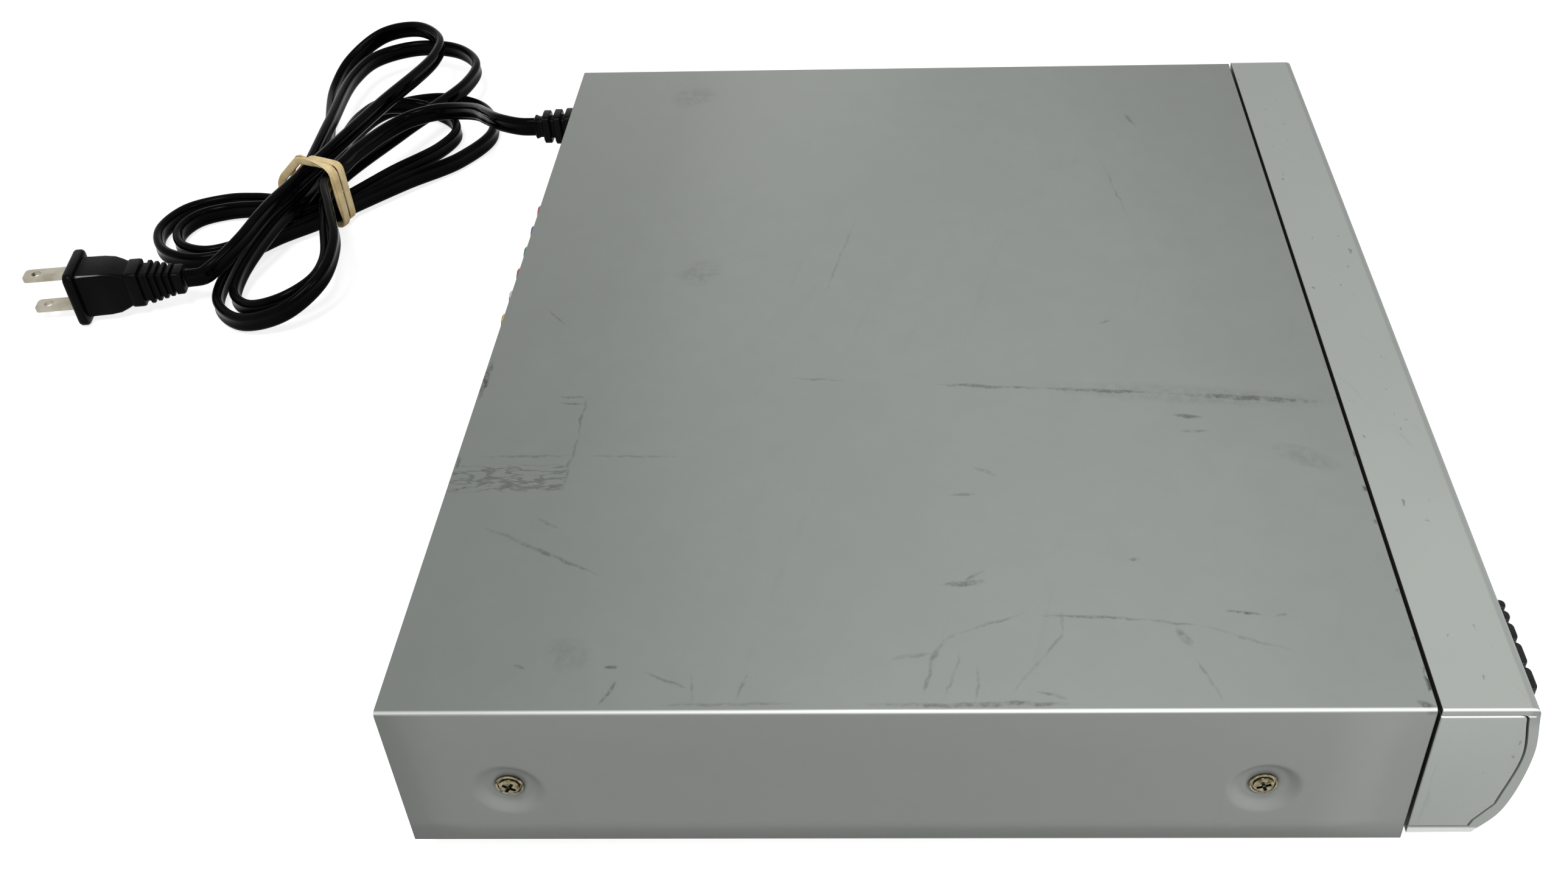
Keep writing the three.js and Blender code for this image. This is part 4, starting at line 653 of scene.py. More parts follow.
def press_dish(shape, side, setback):
    """Cuts a square patch out of a side and closes it with rings that follow the stamped dish."""
    middle = place(side * half_width, setback, dish_height)
    for axis, co in ((1, middle.y), (2, middle.z)):
        for edge in (-dish_patch * MM, dish_patch * MM):
            spot, normal = middle.copy(), Vector((0, 0, 0))
            spot[axis] = co + edge
            normal[axis] = 1
            upright = [f for f in shape.faces if abs(f.normal.x) > 0.99]
            wall = [f for f in upright if f.calc_center_median().x * side > 0]
            geometry = [*wall, *{e for f in wall for e in f.edges}, *{v for f in wall for v in f.verts}]
            bmesh.ops.bisect_plane(shape, geom=geometry, dist=exact, plane_co=spot, plane_no=normal)
    patch = min(shape.faces, key=lambda f: (f.calc_center_median() - middle).length)
    bmesh.ops.subdivide_edges(shape, edges=patch.edges, cuts=dish_cuts)
    patch = min(shape.faces, key=lambda f: (f.calc_center_median() - middle).length)
    loop = list(patch.edges)
    bmesh.ops.delete(shape, geom=[patch], context="FACES_ONLY")
    steps = [(dish_radius + dish_margin, 0)]
    for k in range(dish_rings + 1):
        share = k / dish_rings
        steps.append((dish_radius + (dish_flat - dish_radius) * share, dish_depth * eased(share)))
    steps.append((dish_hole, dish_depth))
    for radius, depth in steps:
        made = bmesh.ops.extrude_edge_only(shape, edges=loop)["geom"]
        loop = [item for item in made if isinstance(item, bmesh.types.BMEdge)]
        for vert in {v for e in loop for v in e.verts}:
            away = Vector((0, vert.co.y - middle.y, vert.co.z - middle.z)).normalized()
            vert.co = middle + away * radius * MM - Vector((side * depth * MM, 0, 0))


cover = bmesh.new()
bmesh.ops.create_cube(cover, size=1)
bmesh.ops.scale(cover, vec=cover_high - cover_low, verts=cover.verts)
bmesh.ops.translate(cover, vec=(cover_high + cover_low) / 2, verts=cover.verts)
ends = [f for f in cover.faces if f.normal.z < -0.5 or abs(f.normal.y) > 0.5]
bmesh.ops.delete(cover, geom=ends, context="FACES_ONLY")
folds = [e for e in edges_at(cover, 2, cover_high.z) if span(e, 0) < exact]
bevelled(cover, folds, cover_fold, 6)
for side in (-1, 1):
    for setback in dish_setbacks:
        press_dish(cover, side, setback)
for edge in [e for e in cover.edges if not e.link_faces]:
    cover.edges.remove(edge)
bmesh.ops.recalc_face_normals(cover, faces=cover.faces)

paint, at = finish("cover_paint", (0.238, 0.258, 0.243), 0.5, 0.05, specular=0.25)
ragged_by = 2.2 * MM
wander = at.add("TexNoise", {"Vector": at, "Scale": 210.0, "Detail": 3.0}, output=1)
ragged = at.add("VectorMath", {0: wander, 1: (ragged_by, ragged_by, 0), 2: at}, operation="MULTIPLY_ADD")
mark_height = 2


def scratch(start, stop, width):
    """1 along a mark between two places on the cover's top, falling to 0 at its ends and sides."""
    run = (Vector(stop) - Vector(start)) * MM
    middle = (Vector(start) + Vector(stop)) / 2 * MM + Vector((ragged_by, ragged_by)) / 2
    inputs = {
        "Vector": ragged, "Location": (*middle, cover_high.z),
        "Rotation": (0, 0, math.atan2(run.y, run.x)),
        "Scale": (run.length / 2 + width * MM, width * MM, mark_height * MM)}
    spot = at.add("Mapping", inputs, vector_type="TEXTURE")
    return spot.add("TexGradient", {"Vector": spot}, output=1, gradient_type="SPHERICAL").between(0, 0.5)


broken = at.noise(420, 4, 0.65).between(0.40, 0.60)
patchy = at.noise(60, 2).between(0.4, 0.62)
# A mark: its half width, how strongly it shows and its two ends, in millimetres of the frame
rubs = [
    (0.89, 0.5, (-36, 0.3), (-38.6, -33)), (1.04, 0.55, (-38.2, -28), (-41.3, -66.8)),
    (1.41, 0.6, (-41, -62), (-45.7, -109)), (5, 0.14, (-37.3, -30), (-45.7, -109)),
    (0.74, 0.45, (-92.7, 116.5), (-112.2, 81.2)), (0.59, 0.3, (-90.1, 102.3), (-94.3, 95.6)),
    (0.67, 0.32, (-65.9, 122.7), (-65.7, 96.5)), (0.52, 0.26, (-65.7, 96.5), (-66.5, 66.3)),
    (1.11, 0.5, (-114.9, -1.2), (-114, -11.2)), (0.67, 0.4, (-113.5, -6.6), (-110.7, -11.3)),
    (0.74, 0.4, (117.4, -68.9), (109, -71.6)), (1.04, 0.55, (-50.9, -65.2), (-51.4, -72.1)),
    (0.74, 0.45, (-57.4, -66.2), (-57.5, -74.2)), (1.33, 0.7, (-153, -107.5), (-154.9, -110.2)),
    (1.11, 0.9, (-23.8, 127), (-40.7, 127.4)), (0.67, 0.5, (-65.7, 127.5), (-70.2, 127)),
    (0.52, 0.22, (6.5, 32.8), (54.9, 23.4)), (0.52, 0.24, (90.5, -56.9), (48.3, -63.1)),
    (0.59, 0.5, (-42.8, 103.8), (-43.9, 97)), (0.59, 0.5, (-40.8, 97.1), (-40, 104.5)),
    (0.52, 0.45, (-41, 97), (-58, 96.8)), (0.52, 0.45, (-57, 96.8), (-79, 97.6)),
    (8, 0.18, (133.2, 86.4), (135.2, 83.4)), (7, 0.16, (19.8, 73.2), (21.8, 70.2)),
    (6, 0.14, (-136.6, 87), (-138, 85)), (4.5, 0.18, (-65, -91.2), (-71.4, -102.9)),
    (0.59, 0.4, (-125.1, -23.5), (-127.1, -50.7)), (0.52, 0.36, (-127, -49), (-128.9, -61.3)),
    (0.5, 0.24, (-128.9, -61.3), (-137.5, -82.6)), (0.59, 0.65, (-124.2, -68.4), (-125.5, -76.4)),
    (0.52, 0.5, (-126.3, -80), (-125.7, -82.4)), (1.41, 0.42, (-130.5, -56.4), (-135.1, -58.5)),
    (0.52, 0.3, (-138.7, -58.9), (-152.6, -63.9)), (0.52, 0.28, (-123.8, -29.4), (-131, -29)),
    (0.52, 0.28, (-130.3, -29.4), (-139.3, -24)), (0.52, 0.28, (-138.6, -24.4), (-149.7, -16.2)),
    (0.59, 0.28, (-124.5, -20.8), (-131.1, -4.2)), (0.59, 0.34, (-131.1, -4.2), (-136, 0.4)),
    (0.96, 0.42, (-135.5, 0), (-139.2, 1.5)), (0.59, 0.34, (-138.5, 1.2), (-150.5, 3.8)),
    (0.81, 0.3, (-138.7, 10.8), (-137.4, 2)), (0.5, 0.26, (-136.5, -5.2), (-151.4, -1)),
    (0.5, 0.26, (-141, -9.3), (-152.4, -8.3)), (0.59, 0.45, (-149, -21.8), (-151.2, -29.1)),
    (0.74, 0.42, (-152.9, 19.7), (-152.8, -30)), (0.89, 0.5, (-152.6, -6.3), (-152.8, -29.7)),
    (0.59, 0.3, (-152.7, 64.3), (-152.5, 31.5)), (0.59, 0.6, (-140.7, 97.9), (-141.2, 95.8)),
    (0.67, 0.75, (-141, 77), (-141, 75)), (0.59, 0.5, (-152.7, 77.2), (-145.4, 73.5)),
    (0.52, 0.34, (-142.7, 67.9), (-147.9, 57.5)), (0.5, 0.28, (-143.2, 57.3), (-152.5, 55.4)),
    (0.5, 0.3, (-152.2, 46.1), (-143.3, 44.2)), (0.89, 0.32, (-71.8, -10.5), (-74.6, -15.5)),
    (0.59, 0.34, (-82.5, -3.8), (-82.1, -10.2)), (0.59, 0.42, (-106.4, -47.2), (-106.7, -49.4)),
    (0.59, 0.3, (-7.9, -48.5), (-6.7, -51.8)), (0.59, 0.3, (-33, 39.5), (-33.8, 25)),
    (0.5, 0.28, (3, 115.9), (-7.4, 107.6)),
]
marked = None
for width, strength, start, stop in rubs:
    mark = scratch(start, stop, width) * strength
    marked = mark if marked is None else marked.highest(mark)
marked = marked * (broken * 0.8 + 0.2)
residue = at.part(0).past(-80.5, -79) * at.part(0).past(-69, -70.5) * at.part(1).past(96.5, 98.5)
creases = ragged.stretched(3.2, 0.7, 1).noise(150, 3)
wrinkled = creases.between(0.44, 0.49) * (1 - creases.between(0.5, 0.55))
# How far a place lies in from the cover's sides, below its top and behind its front edge
inside = cover_high.x - abs(at.part(0))
below = cover_high.z - at.part(2)
behind = at.part(1) - cover_low.y
# Painted highlight: a near-white line along the rounded folds between the top and the sides.
painted_fold_highlight = inside.past(0.95, 0.4) * below.past(0.8, 0.3)
# Chips in the paint along the front edge, plus painted shade on the sheet's cut edge at the seam with the
# front.
seam_chips_and_shade = (ragged.part(1) - cover_low.y).past(2.2, 1.6) * at.noise(130, 3).between(0.55, 0.59)
seam_chips_and_shade = seam_chips_and_shade * at.part(0).past(-20, -90) * below.past(0.6, 0.2)
seam_chips_and_shade = seam_chips_and_shade.highest(behind.past(0.16, 0.08))
cloudy = at.noise(9, 3).between(0.3, 0.7)
mottled = at.noise(120, 4, 0.6).between(0.25, 0.75)
streaks = at.turned(14).stretched(9, 260, 9).noise(1, 4, 0.6).between(0.62, 0.7)
# Marks, tape residue, paint chips and the painted seam shade, all darkening the paint.
soiled_and_seam_shade = marked.highest(residue * wrinkled * 0.5).highest(seam_chips_and_shade * 0.85)
base = cloudy.blend((0.226, 0.246, 0.231), (0.250, 0.270, 0.255))
base = (mottled * 0.45).blend(base, (0.218, 0.230, 0.210))
base = (streaks * patchy * 0.1).blend(base, (0.15, 0.165, 0.15))
# Painted shade: the sides a little darker and greyer than the top.
base = (below.past(0.8, 1.2) * 0.5).blend(base, (0.213, 0.215, 0.210))
base = soiled_and_seam_shade.blend(base, (0.03, 0.032, 0.028))
base = (painted_fold_highlight * (1 - seam_chips_and_shade)).blend(base, (0.93, 0.95, 0.93))
orange_peel = at.noise(1100, 2)
dented = at.noise(14, 2)
vary(
    paint, height=orange_peel * 0.4 + dented * 1.2, depth=0.00004,
    base_color=base, roughness=cloudy * 0.08 + soiled_and_seam_shade * 0.2 - painted_fold_highlight * 0.2 + 0.44)
cover_piece = show("cover_sheet", cover, paint, stands_for=("top_cover",), crease=30)
thicken = cover_piece.modifiers.new("sheet", "SOLIDIFY")
thicken.thickness = cover_sheet * MM
thicken.offset = -1

# Cover tabs. Two ears folded down from the cover's rear edge, each held by a screw.
tab_middles = (-110, 110)
half_tab = 7
tab_inner, tab_outer = 237.8, 238.6
tab_low, tab_high = 41.7, 53.1
tab_edge = 0.25


def joined(*shapes):
    """One bmesh holding all the given ones."""
    whole = bmesh.new()
    for shape in shapes:
        carried = meshed("carried", shape)
        whole.from_mesh(carried)
        bpy.data.meshes.remove(carried)
    return whole


tab_shapes = [
    boxed(row(x - half_tab, tab_inner, tab_low), row(x + half_tab, tab_outer, tab_high), tab_edge)
    for x in tab_middles]
show("cover_ears", joined(*tab_shapes), paint)

# Screws. Nickel-plated pan heads with a flange and a cross recess: four in the dishes
# at the sides, two in the tabs at the back.
screw_steel, at = finish("screw_nickel", (0.15, 0.13, 0.08), 0.2, 1.0)
tones = (0.26, 0.23, 0.15), (0.05, 0.038, 0.018)
weather(screw_steel, at.noise(700, 3).between(0.4, 0.7), tones, (0.14, 0.34), at.noise(900, 2), 0.00012)


def lathe(profile, sides=48):
    """A form turned about Z from radius and height pairs that start and end on the axis or close."""
    shape = bmesh.new()
    points = [shape.verts.new(Vector((radius, 0, height)) * MM) for radius, height in profile]
    edges = [shape.edges.new(pair) for pair in zip(points, points[1:])]
    bmesh.ops.spin(
        shape, geom=[*points, *edges], axis=(0, 0, 1), cent=(0, 0, 0), steps=sides, angle=2 * math.pi,
        use_merge=True)
    bmesh.ops.remove_doubles(shape, verts=shape.verts, dist=1e-7)
    bmesh.ops.recalc_face_normals(shape, faces=shape.faces)
    return shape


screw_profile = [
    (0, -6), (0.5, -6), (1.3, -4.6), (1.3, 0), (3.3, 0), (3.4, 0.1), (3.4, 0.42), (3.3, 0.52),
    (2.85, 0.54), (2.7, 0.25), (2.5, 0.25), (2.42, 0.85), (2.15, 1.06), (1.8, 1.15), (0, 1.2),
]
recess_reach = 1.75
recess_half = 0.42
recess_bottom = -0.3
rear_screw_places = (238.9, 47.2)


def cross_screw():
    head = lathe(screw_profile)
    for x, y in ((recess_reach, recess_half), (recess_half, recess_reach)):
        head = carved(head, boxed((-x, -y, recess_bottom), (x, y, cut_past)))
    return head


screw_seats = []
for side, side_name in ((-1, "left"), (1, "right")):
    outward = Vector((side, 0, 0))
    for setback, setback_name in zip(dish_setbacks, ("front", "rear")):
        seat = place(side * (half_width - dish_depth), setback, dish_height)
        turn = 20 + 37 * len(screw_seats)
        screw_seats.append(("side", f"{side_name}_{setback_name}", seat, outward, turn))
    seat = place(side * tab_middles[1], *rear_screw_places)
    screw_seats.append(("rear", side_name, seat, Vector((0, 1, 0)), 50 * len(screw_seats)))
for group, end, seat, outward, turn in screw_seats:
    screw = cross_screw()
    screw.transform(frame_at(seat, outward) @ Matrix.Rotation(math.radians(turn), 4, "Z"))
    show(
        f"{group}_fixing_{end}", screw, screw_steel,
        stands_for=(f"{group}_screw_{end}",), crease=28)

# Front. A moulded shell in silver paint: flat top, rounded brow, full face and swept
# chin, with openings for the tray, keys, window and button.
front_seam = 0.9
front_skin = 2.1
front_lid = 1.9
top_height = 53.5
under_height = 9.2
half_slot, slot_low, slot_high = 67.3, 28.3, 46
key_low, key_high = 41.6, 48.6
key_pitches = (7.75, 7.8, 6.3, 4.1, 3.4)
key_start = -144.8
key_split = 0.6
window_box = (78, 134, 33, 45)
button_spot = (144, 38)
button_radius = 4.5
fit = 0.3
front_step = 1.4
hollow_past = 1
opening_depths = (-26, -17)


def front_profile(skin, lid):
    """The front's section as y, z from its top rear edge round to its lower rear edge."""
    top, bottom = top_height - lid, under_height + lid
    crown, brow, brow_height = -20.5 + skin, -22.9 + skin, 51.7 - lid
    brow_start, brow_stop = Vector((0, crown, top)), Vector((0, brow, brow_height))
    rounded = interpolate_bezier(
        brow_start, Vector((0, crown + (brow - crown) * 2 / 3, top)),
        Vector((0, brow, top + (brow_height - top) / 3)), brow_stop, 8)
    face = [brow_stop, Vector((0, -24.6 + skin, 37.5))]
    if skin:
        face = smooth_route([*face, Vector((0, -22.05 + skin, 19.9))], front_step)
        chin = [Vector((0, -18.15 + skin, 13.7)), Vector((0, -17.5 + skin, bottom))]
    else:
        face = smooth_route([*face, Vector((0, -21.6, 17.2)), Vector((0, -16.4, bottom))], front_step)
        chin = []
    return [Vector((0, -front_seam, top)), *rounded, *face[1:], *chin, Vector((0, -front_seam, bottom))]


def profile_plate(points, x0, x1):
    """A closed slab between two places along X with the given outline in y, z."""
    shape = bmesh.new()
    verts = [shape.verts.new(place(x0, p.y, p.z)) for p in points]
    face = shape.faces.new(verts)
    moved = bmesh.ops.extrude_face_region(shape, geom=[face])["geom"]
    moved = [v for v in moved if isinstance(v, bmesh.types.BMVert)]
    bmesh.ops.translate(shape, vec=((x1 - x0) * MM, 0, 0), verts=moved)
    bmesh.ops.recalc_face_normals(shape, faces=shape.faces)
    return shape


def front_shell():
    outer = profile_plate(front_profile(0, 0), -half_width, half_width)
    hollow = front_profile(front_skin, front_lid)
    hollow[0].y = hollow[-1].y = hollow_past
    reach = half_width + hollow_past
    return carved(outer, profile_plate(hollow, -reach, reach))


def opening(x0, x1, z0, z1):
    """A block through the front's face, to cut with or to keep what lies in it."""
    return boxed(row(x0, opening_depths[0], z0), row(x1, opening_depths[1], z1))


def soften(piece, width, segments):
    """Rounds a piece's sharp edges with a live bevel."""
    edges = piece.modifiers.new("soft_edges", "BEVEL")
    edges.width = width * MM
    edges.segments = segments
    edges.limit_method = "ANGLE"
    edges.angle_limit = math.radians(40)


front_paint, at = finish("front_paint", (0.306, 0.324, 0.306), 0.45, 0.05, specular=0.25)
cloudy = at.noise(14, 3).between(0.3, 0.7)
nicks = at.stretched(1, 1.8, 1).noise(260, 3).between(0.69, 0.72) * at.noise(40, 1).between(0.42, 0.52)
scuffs = at.turned(-20).stretched(30, 420, 30).noise(1, 3, 0.6).between(0.66, 0.74)
worn = (nicks * 0.6).highest(scuffs * 0.14)
base = cloudy.blend((0.292, 0.310, 0.292), (0.312, 0.331, 0.312))
height, depth = at.part(2), at.part(1)
# Painted shade along the brow, where the front rounds down away from the top.
brow = depth.past(-131.2, -131.8) * height.past(47, 52)
base = (brow * 0.5).blend(base, (0.17, 0.18, 0.17))
# Painted highlights: pale lines along the upper and lower edges of the ends and the plates' top chamfer.
end_face = abs(at.part(0)).past(half_width - 0.6, half_width - 0.1)
painted_plate_highlight = height.past(50.7, 51) * height.past(51.4, 51.2) * depth.past(-132.8, -132.5)
painted_upper_highlights = height.past(52.8, 53.3).highest(painted_plate_highlight * 0.9)
painted_end_highlights = end_face * painted_upper_highlights.highest(height.past(11.1, 10.7) * 0.6)
base = painted_end_highlights.blend(base, (0.9, 0.92, 0.9))
# Painted shade on the front's rear face and what lies behind it, darkening the seam under the cover's edge.
base = depth.past(-111.7, -111.62).blend(base, (0.03, 0.032, 0.028))
vary(
    front_paint, height=at.noise(1500, 2), depth=0.00002,
    base_color=worn.blend(base, (0.12, 0.125, 0.115)), roughness=cloudy * 0.08 + worn * 0.3 + 0.4)
key_stop = key_start + sum(key_pitches)
window_left, window_right, window_low, window_high = window_box
button_ends = [row(button_spot[0], y, button_spot[1]) for y in (-28, -15)]
cutters = joined(
    opening(-half_slot, half_slot, slot_low, slot_high),
    opening(key_start - fit, key_stop, key_low - fit, key_high + fit),
    opening(window_left - fit, window_right + fit, window_low - fit, window_high + fit),
    bar(button_radius + fit, *button_ends, 64))
fascia = show(
    "front_moulding", carved(front_shell(), cutters), front_paint,
    stands_for=("fascia",), crease=30)
soften(fascia, 0.2, 2)

# Tongues and bosses of the front. Two flat tongues slide over the steel pan, and four
# bosses carry the boards behind the face.
tongue_edge = 0.2
boss_places = (-147.6, -111.2, 81.2, 147.6)
boss_radius = 2.4
boss_height = 19.8
fixings = []
for left, right in ((-140, -80), (80, 140)):
    fixings.append(boxed(row(left, -8.2, 9.2), row(right, 8, 10.8), tongue_edge))
    fixings.append(boxed(row(left, 4, 8.3), row(right, 8, 10), tongue_edge))
for x in boss_places:
    fixings.append(bar(boss_radius, row(x, -18.6, boss_height), row(x, -13.9, boss_height)))
show("front_tongues", joined(*fixings), front_paint)

# End plates of the front. Separate mouldings let into its ends, edged with a small
# chamfer whose light is a highlight painted into the front's paint, with a fine dark line round them.
plate_thickness = 2
plate_skin = front_skin + 0.45
plate_lid = front_lid + 0.35
plate_edge = 0.35
for side, side_name in ((-1, "left"), (1, "right")):
    ends = sorted((side * (half_width - plate_thickness), side * half_width))
    plate = profile_plate(front_profile(plate_skin, plate_lid), *ends)
    bevelled(plate, edges_at(plate, 0, side * half_width * MM), plate_edge, 2)
    show(
        f"end_plate_{side_name}", plate, front_paint,
        stands_for=(f"end_cap_{side_name}",), crease=25)

# Tray door. The strip of the front that travels with the tray, cut from the same
# curve and painted with it.
half_door = half_slot - 2 * fit
door = carved(front_shell(), opening(-half_door, half_door, slot_low + fit, slot_high - fit), "INTERSECT")
door_piece = show(
    "tray_front", door, front_paint, body="tray",
    stands_for=("tray_door",), crease=30)
soften(door_piece, 0.35, 3)

# Window. Smoked clear plastic over the display, flush with the front.
smoked, at = finish("smoked_plastic", (0.004, 0.004, 0.006), 0.08, specular=0.3)
smeared = at.noise(70, 3).between(0.45, 0.75)
vary(smoked, height=at.noise(300, 1), depth=0.00001, roughness=smeared * 0.12 + 0.05)
window = carved(front_shell(), opening(*window_box), "INTERSECT")
window_piece = show(
    "display_glass", window, smoked, stands_for=("display_window",), crease=30)
soften(window_piece, 0.25, 2)

# Keys. Five black caps side by side under the front's top edge, each rounded at its
# nose, with a collar behind the skin and a stem to its switch.
key_black, at = finish("key_black", (0.004, 0.004, 0.005), 0.35, specular=0.15)
tones = (0.003, 0.003, 0.004), (0.009, 0.009, 0.010)
weather(key_black, at.noise(500, 3).between(0.4, 0.75), tones, (0.3, 0.5), at.noise(2600, 2), 0.00002)
nose_depth = -26.3
nose_round = 1.6
nose_share = 0.45
key_rim = 0.5
cap_rear = -19
collar_front, collar_rear = -20.6, -19.4
collar_drop = 1.1
collar_edge = 0.15
stem_low, stem_high = 42.55, 46.55
stem_rear = -17.5
left = key_start
for k, pitch in enumerate(key_pitches):
    right = left + pitch - key_split
    cap = boxed(row(left, nose_depth, key_low), row(right, cap_rear, key_high))
    nose = [e for e in edges_at(cap, 1, (nose_depth + COVER_EDGE) * MM) if span(e, 2) > MM]
    bevelled(cap, nose, min(nose_round, (right - left) * nose_share), 6)
    bevelled(cap, edges_at(cap, 2, key_high * MM), key_rim, 3)
    collar_ends = row(left, collar_front, key_low - collar_drop), row(right, collar_rear, key_high)
    collar = boxed(*collar_ends, collar_edge)
    stem = boxed(row(left, collar_front, stem_low), row(right, stem_rear, stem_high))
    name = f"key_{k + 1}"
    show(
        name + "_cap", joined(cap, collar, stem), key_black, body=name,
        stands_for=(name,), crease=30)
    left += pitch

# Standby button. A round black cap with a dished face, let into the right end.
button_profile = [
    (0, 0), (2, 0), (2, 1.9), (5.6, 1.9), (5.6, 3.1), (4.5, 3.1), (4.5, 7.3), (4.35, 7.6), (4, 7.78),
    (3.6, 7.8), (2.4, 7.66), (0, 7.6),
]
button = lathe(button_profile, 64)
button_seat = place(button_spot[0], stem_rear, button_spot[1])
button.transform(Matrix.Translation(button_seat) @ Matrix.Rotation(math.radians(90), 4, "X"))
show(
    "power_button", button, key_black, body="standby_button",
    stands_for=("standby_button",), crease=30)

# Feet. Turned black rubber pads with a bevelled sole and a ribbed wall, plugged into
# the pan.
foot_rubber, at = finish("foot_rubber", (0.014, 0.014, 0.014), 0.75)
tones = (0.012, 0.012, 0.012), (0.05, 0.048, 0.045)
weather(foot_rubber, at.noise(180, 3).between(0.45, 0.8), tones, (0.7, 0.85), at.noise(1300, 2), 0.00008)
foot_profile = [
    (0, 0.6), (6.5, 0.6), (7.2, 0), (9.5, 0), (10.2, 0.5), (10.5, 1.2), (10.5, 2.6), (10.2, 2.9),
    (10.2, 3.5), (10.5, 3.8), (10.5, 6.2), (10.1, 6.7), (2.2, 6.7), (2.2, 10), (1.9, 10.3), (0, 10.3),
]
for x, side_name in ((-120, "left"), (120, "right")):
    for y, end_name in ((20, "front"), (205, "rear")):
        foot = lathe(foot_profile, 56)
        foot.transform(Matrix.Translation(place(x, y, 0)))
        where = f"{end_name}_{side_name}"
        show("pad_" + where, foot, foot_rubber, stands_for=("foot_" + where,))


def dress(material, *nodes):
    """Puts a finish on CAD nodes through their own material slots."""
    for name in nodes:
        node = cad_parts[name]
        node.data.materials.clear()
        node.data.materials.append(material)


dress(foot_rubber, "drive_belt")

# Steel pan and rear panel. Zinc-plated sheet with a faint spangle.
zinc, at = finish("zinc_sheet", (0.42, 0.43, 0.41), 0.4, 0.85)
spangle = at.add("TexVoronoi", {"Vector": at, "Scale": 130.0})
stained = at.noise(22, 3).between(0.4, 0.7)
vary(
    zinc, height=at.noise(700, 2), depth=0.00002, roughness=spangle * 0.16 + stained * 0.12 + 0.26,
    base_color=(spangle * 0.7).blend((0.46, 0.47, 0.45), (0.33, 0.34, 0.32)))
dress(zinc, "chassis_base", "rear_panel", "traverse_chassis")

# Jacks. Six sockets in one moulded block, each with a nickel sleeve round a coloured
# ring, standing out through the rear panel.
grey_moulding, at = finish("grey_moulding", (0.045, 0.047, 0.05), 0.5)
tones = (0.040, 0.042, 0.045), (0.056, 0.058, 0.062)
weather(
    grey_moulding, at.noise(45, 3).between(0.35, 0.7), tones, (0.44, 0.58), at.noise(1700, 2), 0.00004)
dress(
    grey_moulding, "av_jack_block", "filter_capacitor", "loader_frame", "disc_tray", "turntable",
    "pickup_sled", "clamp_bridge")
first_jack = 25
jack_pitch = 13
jack_rear, jack_height = 238.6, 30.5
jack_colours = {
    "yellow": (0.62, 0.42, 0.03), "white": (0.66, 0.66, 0.62), "red": (0.45, 0.02, 0.02),
    "green": (0.02, 0.22, 0.06), "blue": (0.02, 0.06, 0.38), "crimson": (0.45, 0.02, 0.03)}
sleeve_profile = [
    (2.2, 8.2), (3.4, 8.2), (3.4, 8.9), (3.25, 9.25), (3, 9.3), (2.4, 9.3), (2.2, 9.1), (2.2, 8.2)]
collar_profile = [
    (3.4, 0.2), (4.7, 0.2), (4.7, 0.9), (4.5, 1.1), (4.3, 1.1), (4.3, 8.6), (4.05, 8.9), (3.45, 8.9),
    (3.4, 0.2)]
for k, (shade, colour) in enumerate(jack_colours.items()):
    ring_plastic, at = finish("jack_" + shade, colour, 0.4)
    tones = [c * 0.85 for c in colour], [min(1, c * 1.12) for c in colour]
    weather(ring_plastic, at.noise(300, 2), tones, (0.3, 0.5), at.noise(2000, 2), 0.00003)
    rings = ("sleeve", sleeve_profile, nickel), ("collar", collar_profile, ring_plastic)
    seat = place(first_jack + jack_pitch * k, jack_rear, jack_height)
    for part, profile, material in rings:
        ring = lathe(profile, 40)
        ring.transform(Matrix.Translation(seat) @ Matrix.Rotation(math.radians(-90), 4, "X"))
        show(f"jack_{part}_{shade}", ring, material, crease=30)

# Boards. Green lacquer over copper tracks on brown laminate, with tinned pads.
lacquer, at = finish("board_lacquer", (0.015, 0.11, 0.045), 0.38)
tracks = at.add("TexBrick", {"Vector": at, "Scale": 260.0, "Mortar Size": 0.03}, output=1).between(0.2, 0.8)
pads = 1 - at.add("TexVoronoi", {"Vector": at, "Scale": 240.0}).between(0.10, 0.16)
base = tracks.blend((0.012, 0.095, 0.038), (0.03, 0.16, 0.06))
vary(
    lacquer, height=tracks, depth=0.00004, base_color=pads.blend(base, (0.5, 0.5, 0.48)),
    roughness=pads * -0.1 + 0.4, metallic=pads * 0.8)
dress(lacquer, "key_board", "display_board", "main_board", "power_board")

# Transformer and heat sink. Varnished laminations with a taped winding, and a comb of
# extruded aluminium.
winding, at = finish("core_and_tape", (0.36, 0.16, 0.06), 0.42, 0.2)
layers = at.stretched(1, 1400, 1).noise(1, 1).between(0.35, 0.65)
weather(winding, layers, ((0.28, 0.12, 0.045), (0.42, 0.21, 0.085)), (0.35, 0.55), layers, 0.00008)
dress(winding, "transformer")
extrusion, at = finish("sink_aluminium", (0.5, 0.51, 0.52), 0.36, 0.95)
drawn = at.stretched(900, 900, 30).noise(1, 2)
weather(extrusion, drawn, ((0.45, 0.46, 0.47), (0.55, 0.56, 0.57)), (0.25, 0.5), drawn, 0.00003)
dress(extrusion, "heat_sink")

# Chip. Moulded epoxy with a dull grain.
epoxy, at = finish("chip_epoxy", (0.013, 0.013, 0.014), 0.6)
speck = at.noise(2500, 2)
weather(epoxy, speck, ((0.011, 0.011, 0.012), (0.02, 0.02, 0.021)), (0.5, 0.7), speck, 0.00004)
dress(epoxy, "decoder_chip")

# Gears, cam and puck. Natural acetal, waxy.
acetal, at = finish("acetal", (0.66, 0.65, 0.60), 0.45)
tones = (0.62, 0.61, 0.55), (0.70, 0.69, 0.64)
weather(acetal, at.noise(80, 3).between(0.3, 0.7), tones, (0.38, 0.52), at.noise(1800, 2), 0.00002)
dress(acetal, "drive_gear", "pulley_gear", "motor_pulley", "cam_slider", "clamp_puck")

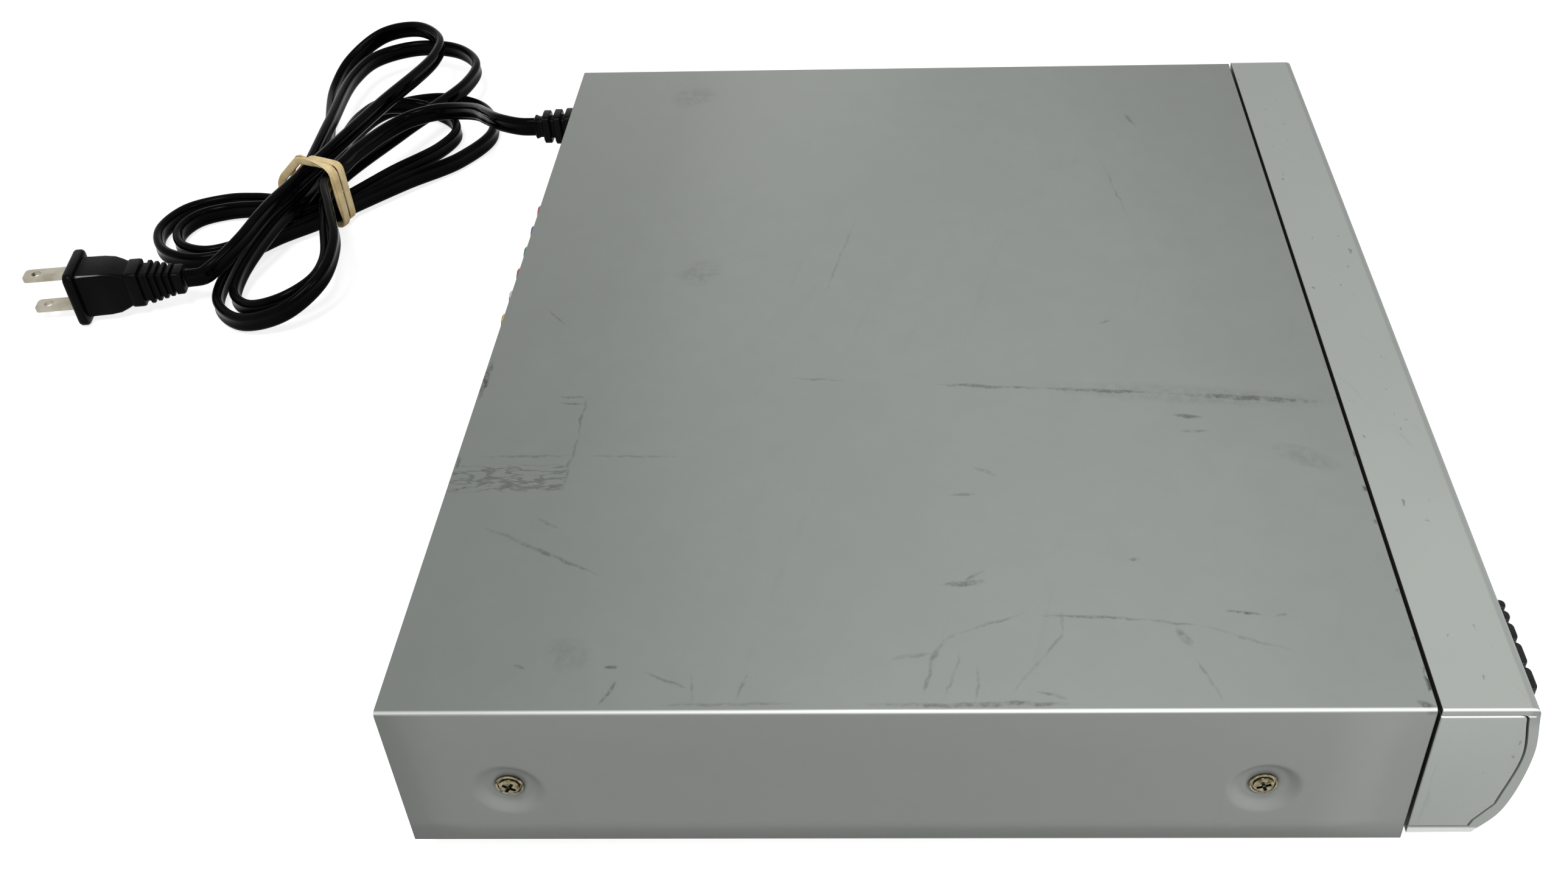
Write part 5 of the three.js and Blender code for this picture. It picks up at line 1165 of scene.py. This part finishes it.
# Motors, rods and screw. Bright drawn steel with fine lines round it.
bright, at = finish("bright_steel", (0.47, 0.48, 0.49), 0.26, 1.0)
lines = at.stretched(40, 40, 1500).noise(1, 2)
weather(bright, lines, ((0.42, 0.43, 0.44), (0.52, 0.53, 0.54)), (0.16, 0.38), lines, 0.00002)
dress(
    bright, "loading_motor", "spindle_motor", "guide_rod_left", "guide_rod_right", "sled_motor",
    "lead_screw")

# Lens. A small coated lens in its cell.
coated, at = finish("lens_coating", (0.10, 0.16, 0.30), 0.06, 0.2, coat=1.0)
hue = at.noise(260, 1)
vary(coated, base_color=hue.blend((0.06, 0.12, 0.30), (0.22, 0.10, 0.28)), roughness=hue * 0.08 + 0.03)
dress(coated, "objective_lens")

# Floor and light. A white sheet under the player with its soft shadow, a pale room and
# three lamps: above, ahead of the left end, and low on the right.
floor_drop = 0.2
floor_shape = bmesh.new()
bmesh.ops.create_grid(floor_shape, x_segments=1, y_segments=1, size=6)
bmesh.ops.translate(floor_shape, vec=(0, 0, -floor_drop * MM), verts=floor_shape.verts)
floor = linked("floor", meshed("floor", floor_shape))


def seen_directly(tree):
    """1 for rays from the camera and for those that gloss or glass sends on."""
    path = tree.nodes.new("ShaderNodeLightPath")
    rays = [Value(path.outputs[name]) for name in ("Is Camera Ray", "Is Glossy Ray", "Is Transmission Ray")]
    return rays[0].highest(rays[1]).highest(rays[2])


sheet, at = finish("floor_sheet", (0.42, 0.42, 0.42), 0.9, specular=0)
shader = sheet.node_tree.nodes["Principled BSDF"]
shader.inputs["Emission Color"].default_value = (1, 1, 1, 1)
glow = seen_directly(sheet.node_tree) * 0.8
sheet.node_tree.links.new(glow.socket, shader.inputs["Emission Strength"])
floor.data.materials.append(sheet)

room = bpy.data.worlds.new("room")
room.use_nodes = True
scene.world = room
background = room.node_tree.nodes["Background"]
background.inputs["Color"].default_value = (1, 1, 1, 1)
ambient = 0.34
strength = seen_directly(room.node_tree) * (1 - ambient) + ambient
room.node_tree.links.new(strength.socket, background.inputs["Strength"])

# A lamp: its place, what it points at, its size and its power
lamps = {
    "lamp_above": ((-0.62, 0.22, 1.4), (-0.05, 0.0, 0.0), 0.5, 13.8),
    "lamp_ahead": ((-0.42, -0.44, 0.36), (-0.15, -0.12, 0.03), 0.2, 2.0),
    "lamp_right": ((1.5, 0.5, 0.2), (0.1, 0.0, 0.03), 1.0, 3.0),
}
for name, (spot, aim, size, power) in lamps.items():
    lamp = bpy.data.lights.new(name, "AREA")
    lamp.size = size
    lamp.energy = power
    holder = linked(name, lamp)
    holder.location = spot
    holder.rotation_euler = (Vector(aim) - Vector(spot)).to_track_quat("-Z", "Y").to_euler()
